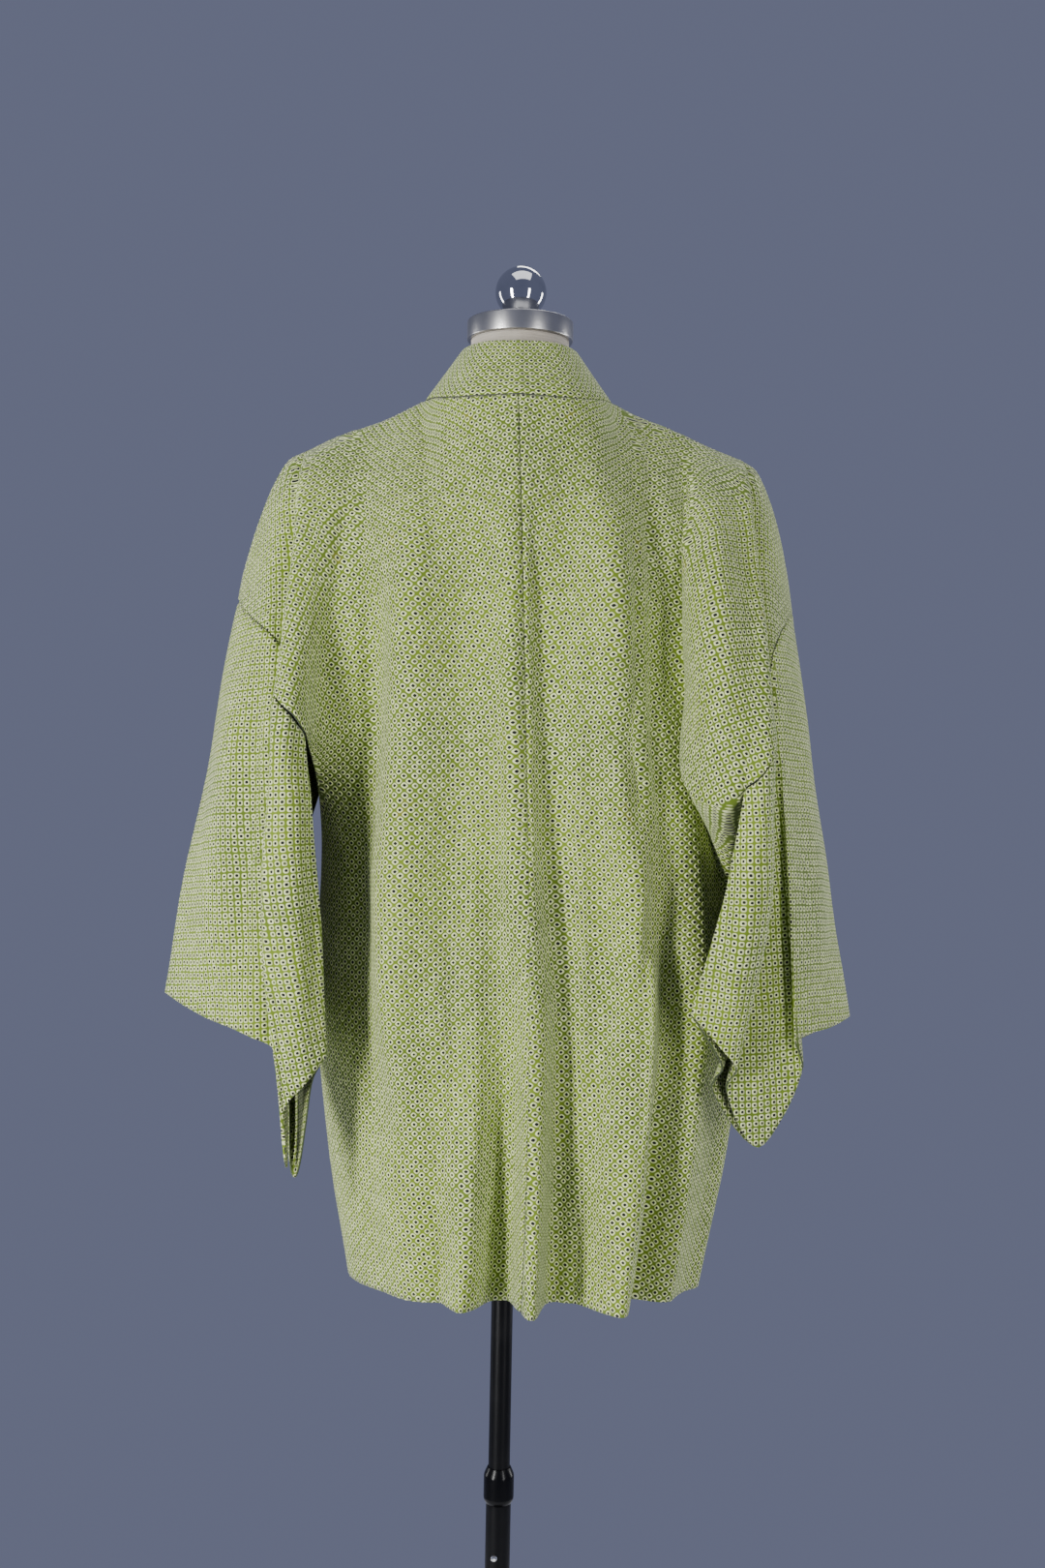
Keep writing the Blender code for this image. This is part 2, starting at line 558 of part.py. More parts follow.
def build_body(side):
    grids, beyond = [], []
    shoulder = None
    for face in ("back", "front"):
        lines = body_lines(side, face, UPPER_ROWS, LOWER_ROWS)
        full = len(lines)
        plain = full - len(ARMHOLE_FOLDS[side, face])
        drops = [drop_line(side, fold, UPPER_ROWS) for fold in sleeve_folds(side, face)[1:]]
        cuts = [1] * (plain - 1) + [2] * (full - plain + len(drops))
        upper = refine([line[:UPPER_ROWS + 1] for line in lines] + drops, cuts)
        lower = refine([line[UPPER_ROWS:] for line in lines], cuts[:full - 1])
        for _ in range(2):
            upper, lower = soften(upper, plain - 1, 2), soften(lower, plain - 1, 2)
        upper[plain:, 0] = straight([line[0] for line in lines + drops], cuts)[plain:]
        seam = sleeve_grid(side, SLEEVE_ROWS)
        seam = seam[:2 * len(drops) + 1] if face == "back" else seam[::-1][:2 * len(drops) + 1]
        up = upper[-len(seam):, -2] - seam[:, 0]
        along = np.gradient(seam[:, 0], axis=0)
        along /= np.linalg.norm(along, axis=1)[:, None]
        up -= along * (up * along).sum(axis=1)[:, None]
        upper[-len(seam):, -1] = seam[:, 0] + up / np.linalg.norm(up, axis=1)[:, None] * SEAM_GAP
        lower[:, 0] = upper[:len(lower), -1]
        if face == "back":
            shoulder = upper[NECK_LINES:, 0].copy()
        else:
            upper[:, 0] = shoulder
        flip = (face == "front") == (side == "left")
        grids += [(upper, flip), (lower, flip)]
        beyond.append((np.stack([upper[-len(seam):, -1], seam[:, 1]], axis=1), flip))
        if face == "back":
            other = "right" if side == "left" else "left"
            far = np.array(back_line(other, 1, UPPER_ROWS, LOWER_ROWS))
            rows = UPPER_ROWS + 1
            beyond.append((np.stack([far[:rows], upper[0]]), flip))
            beyond.append((np.stack([far[rows - 1:], lower[0]]), flip))
    return thin_wall("body_" + side, grids, beyond, CLOTH, "cloth")


def sleeve_line(side, fold, rows):
    seam, end = fold[6], fold[9]
    return [sleeve_point(side, fold, seam + (end - seam) * w) for w in np.linspace(0.0, 1.0, rows + 1)]


def round_sleeve(side):
    """Folds of one sleeve from its open back edge round to its open front edge."""
    return list(sleeve_folds(side, "back")) + list(reversed(SLEEVE_FOLDS[side, "front"]))


def sleeve_grid(side, rows):
    lines = [sleeve_line(side, fold, rows) for fold in round_sleeve(side)]
    return soften(refine(lines, [2] * (len(lines) - 1)), 1, 10)


def build_sleeve(side):
    folds = round_sleeve(side)
    grid = sleeve_grid(side, SLEEVE_ROWS)
    above = refine([drop_line(side, fold, UPPER_ROWS)[-2] for fold in folds], [2] * (len(folds) - 1))
    beyond = [(np.stack([above, grid[:, 0]], axis=1), side == "left")]
    return thin_wall("sleeve_" + side, [(grid, side == "left")], beyond, CLOTH, "cloth")


def build_gusset(side):
    sign = SIDES[side]
    lines = []
    for t in np.linspace(0.0, 1.0, 4):
        line = []
        for w in np.linspace(0.0, 1.0, LOWER_ROWS + 1):
            height = GUSSET_TOP - 0.004 + (HEM - GUSSET_TOP + 0.004) * w
            low, high = side_share("back", height) + 0.0025, side_share("front", height) - 0.0025
            line.append(body_point(sign, low + (high - low) * t, height))
        lines.append(line)
    return thin_wall("gusset_" + side, [(lines, side == "left")], [], CLOTH, "cloth")


def build_collar():
    lines = []
    last = len(COLLAR) - 1
    run = list(np.linspace(-last, last, 61))
    for along in run:
        side = "left" if along < 0 else "right"
        inner = collar_edge(side, abs(along), "inner")
        sewn = collar_edge(side, abs(along), "sewn")
        bow = np.array((0.0, 0.0, 0.0))
        lines.append([inner + (sewn - inner) * t + bow * math.sin(math.pi * t) for t in (0.0, 0.5, 1.0)])
    return thin_wall("collar", [(lines, True)], [], COLLAR_CLOTH, "cloth")


# ---------------------------------------------------------------- form and stand
def ring_points(row, count):
    height, half, back, front, power = row
    ring = []
    for n in range(count):
        a = 2 * math.pi * n / count
        s, c = math.sin(a), math.cos(a)
        x = half * math.copysign(abs(c) ** (2 / power), c)
        deep = front if s > 0 else back
        ring.append((x, deep * math.copysign(abs(s) ** (2 / power), s), height))
    return ring


def build_torso():
    table = np.array(TORSO)
    heights = table[:, 0]
    count = 32
    verts, faces = [], []
    for height in heights:
        row = curve(table[:, 0], table[:, 1:], height)[0]
        verts += ring_points((height, *row), count)
    for k in range(len(heights) - 1):
        for n in range(count):
            a, b = k * count + n, k * count + (n + 1) % count
            faces.append((a, b, b + count, a + count))
    faces.append(tuple(reversed(range(count))))
    faces.append(tuple(range(len(verts) - count, len(verts))))
    mesh = bpy.data.meshes.new("torso")
    mesh.from_pydata(verts, [], faces)
    mesh.update()
    torso = add_object("torso", mesh, "cream")
    bore = cylinder_mesh("mast_socket", MAST_R + 0.0003, TORSO_LOW - 0.02, TORSO_LOW + 0.302, 48)
    cutter = bpy.data.objects.new("mast_socket", bore)
    cutters.objects.link(cutter)
    cutter.hide_render = True
    cutter.display_type = "WIRE"
    cut = torso.modifiers.new("mast socket", "BOOLEAN")
    cut.operation = "DIFFERENCE"
    cut.solver = "EXACT"
    cut.object = cutter
    return torso


def cylinder_mesh(name, radius, low, high, count):
    mesh = bpy.data.meshes.new(name)
    made = bmesh.new()
    bmesh.ops.create_cone(made, cap_ends=True, segments=count, radius1=radius, radius2=radius, depth=high - low)
    bmesh.ops.translate(made, verts=made.verts, vec=(0.0, 0.0, (low + high) / 2))
    made.to_mesh(mesh)
    made.free()
    return mesh


def turned(name, profile, count, slot):
    """Solid of revolution about Z from a closed profile of (radius, height)."""
    verts, faces = [], []
    rings = []
    for radius, height in profile:
        if radius < 1e-6:
            rings.append([len(verts)])
            verts.append((0.0, 0.0, height))
        else:
            rings.append(list(range(len(verts), len(verts) + count)))
            verts += [(radius * math.cos(2 * math.pi * n / count), radius * math.sin(2 * math.pi * n / count), height)
                      for n in range(count)]
    closed = profile[0][0] > 1e-6
    pairs = list(zip(rings, rings[1:])) + ([(rings[-1], rings[0])] if closed else [])
    for low, high in pairs:
        for n in range(count):
            m = (n + 1) % count
            ring = [low[n % len(low)], low[m % len(low)], high[m % len(high)], high[n % len(high)]]
            ring = [v for k, v in enumerate(ring) if v != ring[k - 1]]
            if len(ring) > 2:
                faces.append(ring)
    mesh = bpy.data.meshes.new(name)
    mesh.from_pydata(verts, [], faces)
    made = bmesh.new()
    made.from_mesh(mesh)
    bmesh.ops.recalc_face_normals(made, faces=made.faces)
    made.to_mesh(mesh)
    made.free()
    return add_object(name, mesh, slot)


def build_form():
    build_torso()
    cap = [(0.0, CAP_LOW)]
    cap += [(CAP_R - 0.0008, CAP_LOW), (CAP_R, CAP_LOW + 0.001), (CAP_R, CAP_HIGH - 0.003)]
    cap += [(CAP_R - 0.0010, CAP_HIGH - 0.0008), (CAP_R - 0.003, CAP_HIGH), (0.0, CAP_HIGH)]
    turned("neck_cap", cap, 40, "steel")
    ball = [(0.0, CAP_HIGH + 0.0003), (0.0085, CAP_HIGH + 0.0003), (0.0085, CAP_HIGH + 0.0042)]
    start = math.asin(0.0085 / BALL_R)
    for k in range(1, 13):
        a = math.pi - start - (math.pi - start) * k / 12
        ball.append((BALL_R * math.sin(a), BALL_MID + BALL_R * math.cos(a)))
    ball[-1] = (0.0, BALL_MID + BALL_R)
    turned("ball_finial", ball, 28, "chrome")


def build_stand():
    mast = [(MAST_BORE, 0.250), (MAST_R, 0.250), (MAST_R, TORSO_LOW + 0.300), (MAST_BORE, TORSO_LOW + 0.300)]
    turned("mast", mast, 32, "black")
    lower = [(TUBE_BORE, BASE_T + 0.0303), (TUBE_R, BASE_T + 0.0303)]
    lower += [(TUBE_R, LOCK_LOW - 0.0003), (TUBE_BORE, LOCK_LOW - 0.0003)]
    turned("lower_tube", lower, 32, "black")
    lock = [(TUBE_BORE, LOCK_LOW), (LOCK_R - 0.002, LOCK_LOW), (LOCK_R - 0.0004, LOCK_LOW + 0.0015)]
    lock += [(LOCK_R, LOCK_LOW + 0.004), (LOCK_R, LOCK_HIGH - 0.006), (LOCK_R - 0.0007, LOCK_HIGH - 0.0025)]
    lock += [(LOCK_R - 0.0025, LOCK_HIGH), (TUBE_BORE, LOCK_HIGH)]
    turned("lock_collar", lock, 28, "black")
    foot = [(0.0, 0.0), (BASE_R - 0.002, 0.0), (BASE_R, 0.002), (BASE_R, BASE_T - 0.005)]
    foot += [(BASE_R - 0.0018, BASE_T - 0.0015), (BASE_R - 0.006, BASE_T), (0.030, BASE_T + 0.003)]
    foot += [(0.022, BASE_T + 0.006), (0.019, BASE_T + 0.014), (0.0185, BASE_T + 0.0300), (0.0, BASE_T + 0.0300)]
    turned("base", foot, 48, "black")
    screw = turned("stop_screw", [(0.0, 0.0), (0.0016, 0.0), (0.0026, 0.0004), (0.0028, 0.0012), (0.0020, 0.0021),
                                  (0.0, 0.0024)], 20, "chrome")
    for v in screw.data.vertices:
        x, y, z = v.co
        v.co = (x - 0.003, -TUBE_R + 0.0001 - z - 0.0003, y + 0.462)
    screw.data.update()


for name in SIDES:
    build_body(name)
    build_sleeve(name)
    build_gusset(name)
build_collar()
build_form()
build_stand()
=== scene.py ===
# %% [markdown]
# # A haori jacket on a dress form
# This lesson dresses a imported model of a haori, a hip-length Japanese jacket, worn by a
# limbless dress form on a pole stand. The solids come in as a fixed frame. Every piece made
# here sits on one of them and adds what a solid can't show: cloth that is tie-dyed in small
# raised dots, soft creases, brushed steel, and a jersey skin. Everything is in metres, +Z up,
# and the wearer faces +Y, so the view from behind looks along +Y.

# %% Load the frame
import bpy
import bmesh
import json
import math
import numpy as np
from mathutils import Matrix, Vector


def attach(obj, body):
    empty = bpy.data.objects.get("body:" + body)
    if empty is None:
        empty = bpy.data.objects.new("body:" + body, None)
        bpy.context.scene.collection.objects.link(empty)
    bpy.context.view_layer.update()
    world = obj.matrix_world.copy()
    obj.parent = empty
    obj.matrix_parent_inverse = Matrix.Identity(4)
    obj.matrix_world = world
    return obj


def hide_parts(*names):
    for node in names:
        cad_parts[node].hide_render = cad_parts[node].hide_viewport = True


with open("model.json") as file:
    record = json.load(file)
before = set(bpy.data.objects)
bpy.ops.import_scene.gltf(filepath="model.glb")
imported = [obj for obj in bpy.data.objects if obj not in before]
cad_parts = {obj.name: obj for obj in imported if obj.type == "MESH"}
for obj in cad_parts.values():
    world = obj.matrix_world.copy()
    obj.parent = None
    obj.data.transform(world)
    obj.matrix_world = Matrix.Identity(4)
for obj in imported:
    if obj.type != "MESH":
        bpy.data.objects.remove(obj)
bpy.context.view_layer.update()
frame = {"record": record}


def placed(name, data):
    """A new object of the scene that shows `data`."""
    made = bpy.data.objects.new(name, data)
    bpy.context.scene.collection.objects.link(made)
    return made


# %% [markdown]
# ## The camera
# The camera stands 1.5 m behind the form at chest height. A short lens at that distance is
# what makes the hem bend down and the shoulders slope, so the distance matters more than the
# zoom. The small roll of about one degree is a tripod that isn't quite level.

# %% Camera
SENSOR_HEIGHT = 24.0
LENS_TO_SENSOR = 1780.0 / 1620.0
CAMERA_PLACE = (0.0095, -1.53, 1.145)
CAMERA_ROLL = math.radians(1.07)
camera_data = bpy.data.cameras.new("studio_camera")
camera_data.sensor_fit = "VERTICAL"
camera_data.sensor_height = SENSOR_HEIGHT
camera_data.lens = SENSOR_HEIGHT * LENS_TO_SENSOR
camera = placed("studio_camera", camera_data)
level = Matrix.Translation(CAMERA_PLACE) @ Matrix.Rotation(math.radians(90.0), 4, "X")
camera.matrix_world = level @ Matrix.Rotation(CAMERA_ROLL, 4, "Z")
bpy.context.scene.camera = camera
print("camera lens", round(camera_data.lens, 2), "mm")

# %% [markdown]
# ## Writing shaders as sums
# A procedural finish is arithmetic on the surface's coordinates. Wiring Math nodes by hand
# hides that arithmetic, so one small class wraps a socket and lets Python's own operators add
# the nodes. A second class holds the material and makes any other node in one call.

# %% Shader wires
def maths(operation, turned=False):
    """A Python operator that adds one Math node. turned swaps its two inputs."""
    def add_node(self, other):
        pair = [other, self] if turned else [self, other]
        return self.finish.node("Math", {"operation": operation}, pair)
    return add_node


class Wire:
    """A number on its way between shader nodes."""

    def __init__(self, finish, socket):
        self.finish, self.socket = finish, socket

    __add__, __radd__ = maths("ADD"), maths("ADD", turned=True)
    __sub__, __rsub__ = maths("SUBTRACT"), maths("SUBTRACT", turned=True)
    __mul__, __rmul__ = maths("MULTIPLY"), maths("MULTIPLY", turned=True)
    __truediv__, __pow__ = maths("DIVIDE"), maths("POWER")

    def __abs__(self):
        return self.finish.node("Math", {"operation": "ABSOLUTE"}, [self])

    def floor(self):
        return self.finish.node("Math", {"operation": "FLOOR"}, [self])

    def clamp(self):
        return self.finish.node("Clamp", {}, [self, 0.0, 1.0])

    def output(self, number):
        """Another output of the node this wire comes from."""
        return Wire(self.finish, self.socket.node.outputs[number])

    def step(self, low, high):
        """0 below low, 1 above high, and a soft rise between. low above high turns it round."""
        if low > high:
            return 1.0 - self.step(high, low)
        return self.finish.node("MapRange", {"interpolation_type": "SMOOTHSTEP"},
                                [self, low, high, 0.0, 1.0])


# %% One material under construction
class Finish:
    """A Principled material that is built in Python expressions."""

    def __init__(self, name, **constants):
        self.material = bpy.data.materials.new(name)
        self.material.use_nodes = True
        self.tree = self.material.node_tree
        self.shader = self.tree.nodes["Principled BSDF"]
        for socket, value in constants.items():
            self.shader.inputs[socket.replace("_", " ")].default_value = value

    def node(self, kind, settings, inputs=(), out=0):
        """Adds a shader node: its settings first, then the values or wires of its sockets."""
        made = self.tree.nodes.new("ShaderNode" + kind)
        for name, value in settings.items():
            setattr(made, name, value)
        for socket, value in inputs.items() if isinstance(inputs, dict) else enumerate(inputs):
            if isinstance(value, Wire):
                self.tree.links.new(value.socket, made.inputs[socket])
            else:
                made.inputs[socket].default_value = value
        return Wire(self, made.outputs[out])

    def cut(self):
        """Place on the flat cloth, in metres."""
        return self.node("UVMap", {"uv_map": "cut"})

    def place(self):
        """Place on the object, in metres."""
        return self.node("TexCoord", {}, out=3)

    def vector(self, operation, *inputs):
        return self.node("VectorMath", {"operation": operation}, inputs)

    def noise(self, place, scale, detail=2.0, out=0):
        """A cloud of values, or with out=1 of colours."""
        return self.node("TexNoise", {}, {"Vector": place, "Scale": scale, "Detail": detail}, out)

    def wave(self, place, way, scale, **more):
        return self.node("TexWave", {"bands_direction": way},
                         {"Vector": place, "Scale": scale, **more})

    def mix(self, share, first, second):
        """Colour `first` where share is 0 and `second` where it is 1."""
        first, second = [(*c, 1.0) if isinstance(c, tuple) else c for c in (first, second)]
        return self.node("Mix", {"data_type": "RGBA"}, {0: share, 6: first, 7: second}, out=2)

    def bump(self, height, distance, strength=1.0):
        return self.node("Bump", {}, {"Strength": strength, "Distance": distance, "Height": height})

    def feed(self, **wires):
        """Leads wires into the shader and gives back the finished material."""
        for socket, wire in wires.items():
            self.tree.links.new(wire.socket, self.shader.inputs[socket.replace("_", " ")])
        return self.material


print("shader classes ready")

# %% [markdown]
# ## The dotted cloth
# The cloth is silk tied by hand into thousands of tiny knots before dyeing. Each knot keeps a
# white ring round a dark tip, and stays a small raised dot. The dots stand in a square lattice
# that is turned 45 degrees to the weave, about 5.5 mm apart. The pattern is drawn in the flat
# cloth's own coordinates, stored on the mesh in metres, so it turns and tilts with every fold
# as real dyed cloth does. Each cell of the lattice gets its own size, place and strength from
# white noise, because no two knots are the same.

# %% Dyed colours and dot sizes
LEAF_GREEN = (0.155, 0.235, 0.009)
MOSS_GREEN = (0.100, 0.160, 0.007)
AGED_YELLOW = (0.28, 0.21, 0.020)
KNOT_WHITE = (0.880, 0.960, 0.460)
KNOT_TIP = (0.003, 0.003, 0.005)
BLACK = (0.0, 0.0, 0.0)
# in metres: the lattice, how far its lines wander, and how tall a dot is
DOT_PITCH = 0.0055
WANDER = 0.0036
DOT_HEIGHT = 0.0011
# in cells of the lattice: a dot's place, ring and tip, each with the most it varies by
OFF_PLACE = 0.11
RING, RING_MORE = 0.355, 0.05
TIP, TIP_MORE = 0.188, 0.04
SQUARENESS = 2.8


# %% Dotted silk
def dotted_silk(name, depth=1.0, shade=1.0):
    """Tie-dyed silk. depth scales the relief, and shade below 1 darkens every colour towards black
    as painted shade.
    """
    silk = Finish(name, Roughness=0.78, Sheen_Weight=0.22, Sheen_Roughness=0.45,
                  Specular_IOR_Level=0.28)
    cut = silk.cut()
    drift = silk.vector("SUBTRACT", silk.noise(cut, 24.0, 1.0, out=1), (0.5, 0.5, 0.5))
    moved = silk.vector("MULTIPLY_ADD", drift, (WANDER, WANDER, 0.0), cut)
    across = silk.node("SeparateXYZ", {}, [moved])
    down = across.output(1)
    a = (across + down) / (DOT_PITCH * math.sqrt(2.0))
    b = (across - down) / (DOT_PITCH * math.sqrt(2.0))
    row, line = a.floor(), b.floor()
    cell = silk.node("CombineXYZ", {}, [row, line])
    own = silk.node("TexWhiteNoise", {"noise_dimensions": "2D"}, {"Vector": cell}, out=1)
    own_x = silk.node("SeparateColor", {}, [own])
    own_y, own_z = own_x.output(1), own_x.output(2)
    x = a - row - 0.5 + (own_x - 0.5) * OFF_PLACE
    y = b - line - 0.5 + (own_y - 0.5) * OFF_PLACE
    away = (abs(x) ** SQUARENESS + abs(y) ** SQUARENESS) ** (1 / SQUARENESS)
    ring = ((RING + own_z * RING_MORE - away) * 9.0 + 0.5).clamp() * (0.82 + own_y * 0.18)
    tip = ((TIP + own_x * TIP_MORE - away) * 18.0 + 0.5).clamp() * (0.90 + own_z * 0.5).clamp()
    ground = silk.mix(silk.noise(cut, 9.0, 3.0).step(0.35, 0.68), LEAF_GREEN, MOSS_GREEN)
    aged = silk.noise(cut, 31.0).step(0.66, 0.80) * 0.55
    ground = silk.mix(aged, ground, AGED_YELLOW)
    colour = silk.mix(tip, silk.mix(ring, ground, KNOT_WHITE), KNOT_TIP)
    # painted shade: a shade below 1 mixes every colour towards black
    if shade < 1.0:
        colour = silk.mix(1.0 - shade, colour, BLACK)
    dome = away.step(0.52, 0.05)
    crimp = silk.noise(cut, 900.0, 1.0)
    relief = silk.bump(dome + crimp * 0.12, DOT_HEIGHT * depth, strength=0.85)
    return silk.feed(Base_Color=colour, Normal=relief)


outer_silk = dotted_silk("dotted_silk")
# The sleeves' inside is the same silk with flatter dots, its colours darkened to 62% as painted
# shade for the inside of a sleeve.
painted_shade_inner_silk = dotted_silk("dotted_silk_inside_painted_shade", depth=0.6, shade=0.62)
print("dot pitch", DOT_PITCH * 1000, "mm")

# %% [markdown]
# ## Lining and turned edges
# The body is lined with plain brown-grey silk, and the edges show a narrow dark green turning.
# Both are plain weaves: two fine waves at right angles, too fine to see from far off, give the
# surface its grain, and a wide noise gives the wear of a hand-sewn lining.

# %% Plain silks
THREAD_SCALE = 1400.0 / 6.283


def plain_silk(name, light, dark, rough=0.55):
    """A plain woven silk with a fine thread relief."""
    silk = Finish(name, Roughness=rough, Sheen_Weight=0.3, Sheen_Roughness=0.4)
    cut = silk.cut()
    warp, weft = (silk.wave(cut, way, THREAD_SCALE) for way in "XY")
    colour = silk.mix(silk.noise(cut, 14.0, 4.0).step(0.3, 0.7), light, dark)
    colour = silk.mix(warp * weft * 0.25, colour, BLACK)
    return silk.feed(Base_Color=colour, Normal=silk.bump(warp + weft, 0.00015))


lining_silk = plain_silk("lining_silk", (0.105, 0.082, 0.066), (0.070, 0.054, 0.045))
turned_edge = plain_silk("turned_edge", (0.060, 0.085, 0.022), (0.035, 0.052, 0.014), rough=0.7)
print("silks:", [m.name for m in (outer_silk, painted_shade_inner_silk, lining_silk, turned_edge)])

# %% [markdown]
# ## How the cloth hangs
# Cloth on a form hangs from the shoulders in lines. The body's plan is a rounded square at five
# heights, and each fold is a ridge or valley at a share of the way round that swells towards
# the hem. The same tables shaped the solids, so the cloth here lies on them. A reader could
# simulate this drape, but a table keeps each fold where it belongs and gives the same cloth on
# every run.

# %% Sizes of the cut and the drape
CLOTH_THICK = 0.0015
SEAM_GAP = 0.0008
NECK_GAP = 0.0022
# heights of the underarm, half way down the sleeve, the hem and the gusset's top
SHOULDER_LOW = 1.18
SLEEVE_MID = 1.04
HEM = 0.712
GUSSET_TOP = 1.095
# distances out on the shoulder line and forward of the pole
NECK_HALF = 0.0850
SHOULDER_FORE = -0.006
# shares of the way round from centre back to centre front
SIDE_EDGE = 0.455
GUSSET_TOP_SHARE = 0.012
GUSSET_HEM_SHARE = 0.125
BACK_SHARE = 0.335
FRONT_SHARE = 0.62
FRONT_EDGE = 0.80
# how square the body's plan is, and in how many steps it's drawn
TUBE_POWER = 2.5
PLAN_STEPS = 61
# powers that shape the fall from the shoulder: spacing of the rows, way out and way round
FALL = 1.35
FRONT_FALL = 1.2
FALL_OUT = 0.9
FALL_ROUND = 2.4
FRONT_ROUND = 2.0
# powers of the drop over the arm: way out and way forward
DROP_OUT = 0.48
DROP_FORE = 0.62
# across a front the collar's pull dies out by these powers, hanging part and upper part
COLLAR_PULL = 1.5
COLLAR_PULL_UP = 2.0
# the upper part meets the collar within the first eighth of its height
COLLAR_SOON = 8
# share of the way down at which the cloth has come round over the shoulder
BACK_SWEEP = 0.72
SIDE_SWEEP = 0.8
# below the armhole its folds fade out over this height
ARMHOLE_BLEND = 0.17
# lines and rows of the grids, and how finely the sheets cut them
NECK_LINES = 6
SHOULDER_LINES = 9
UPPER_ROWS = 8
LOWER_ROWS = 12
SLEEVE_ROWS = 10
LINE_CUTS = 4
ROW_CUTS = 6
SIDES = {"left": -1.0, "right": 1.0}

# %% Plan of the body and line of the shoulders
# plan of the hanging body: height, sideways shift, half width, half depth back and front
BODY_PLAN = (
    (1.180, 0.012, 0.168, 0.114, 0.122),
    (1.100, 0.015, 0.176, 0.114, 0.128),
    (1.000, 0.018, 0.182, 0.112, 0.128),
    (0.850, 0.019, 0.173, 0.102, 0.122),
    (0.700, 0.016, 0.146, 0.090, 0.112),
)
# shoulder line of the cloth: distance out, height
SHOULDER = {
    "left": ((0.070, 1.4880), (0.088, 1.4780), (0.120, 1.4630), (0.159, 1.4500), (0.186, 1.4360)),
    "right": ((0.070, 1.4895), (0.096, 1.4745), (0.136, 1.4590), (0.166, 1.4455), (0.197, 1.4340)),
}

# %% Folds of the body
# folds of the body: share of the half round (wearer's left is minus) at underarm, mid and
# hem, reach to each side, and height at underarm, mid and hem
BODY_FOLDS = (
    ("centre ridge", -0.012, 0.006, 0.018, 0.040, 0.036, 0.006, 0.018, 0.050),
    ("centre valley", 0.055, 0.058, 0.060, 0.030, 0.040, -0.006, -0.010, -0.004),
    ("left valley", -0.060, -0.058, -0.040, 0.040, 0.030, -0.002, -0.008, -0.006),
    ("left broad ridge", -0.190, -0.226, -0.205, 0.100, 0.110, 0.012, 0.020, 0.012),
    ("left hem ridge", -0.075, -0.080, -0.108, 0.060, 0.045, 0.000, 0.003, 0.034),
    ("left edge ridge", -0.330, -0.345, -0.350, 0.050, 0.040, 0.010, 0.000, 0.004),
    ("left side fold", -0.420, -0.430, -0.425, 0.050, 0.050, 0.000, 0.008, 0.012),
    ("right ridge", 0.145, 0.200, 0.186, 0.085, 0.030, 0.010, 0.020, 0.044),
    ("right valley", 0.225, 0.238, 0.232, 0.025, 0.035, -0.006, -0.006, -0.004),
    ("right side ridge", 0.300, 0.300, 0.290, 0.060, 0.060, 0.000, 0.012, 0.016),
    ("right side fold", 0.410, 0.415, 0.405, 0.050, 0.045, 0.000, 0.006, 0.012),
    ("left front fold", -0.640, -0.650, -0.655, 0.050, 0.060, 0.006, 0.014, 0.020),
    ("left front inner fold", -0.755, -0.765, -0.770, 0.040, 0.040, 0.004, 0.008, 0.014),
    ("right front fold", 0.630, 0.645, 0.660, 0.060, 0.050, 0.006, 0.012, 0.022),
    ("right front inner fold", 0.745, 0.755, 0.765, 0.040, 0.040, 0.003, 0.010, 0.012),
)
# armhole folds that stay on the body: place on the shoulder line, then distance out, distance
# forward and height at underarm level. The underarm itself is the sleeve's open edge
ARMHOLE_FOLDS = {
    ("left", "back"): (
        ("valley", 0.148, 0.1600, -0.0960, 1.180),
    ),
    ("right", "back"): (
        ("valley", 0.146, 0.1375, -0.0930, 1.166),
        ("inner bulge", 0.156, 0.1465, -0.1270, 1.136),
        ("bulge", 0.168, 0.1720, -0.1530, 1.132),
    ),
    ("left", "front"): (
        ("valley", 0.148, 0.1560, 0.0900, 1.180),
    ),
    ("right", "front"): (
        ("valley", 0.146, 0.1520, 0.0970, 1.180),
        ("inner bulge", 0.156, 0.1620, 0.1060, 1.172),
        ("bulge", 0.168, 0.1720, 0.1180, 1.166),
    ),
}

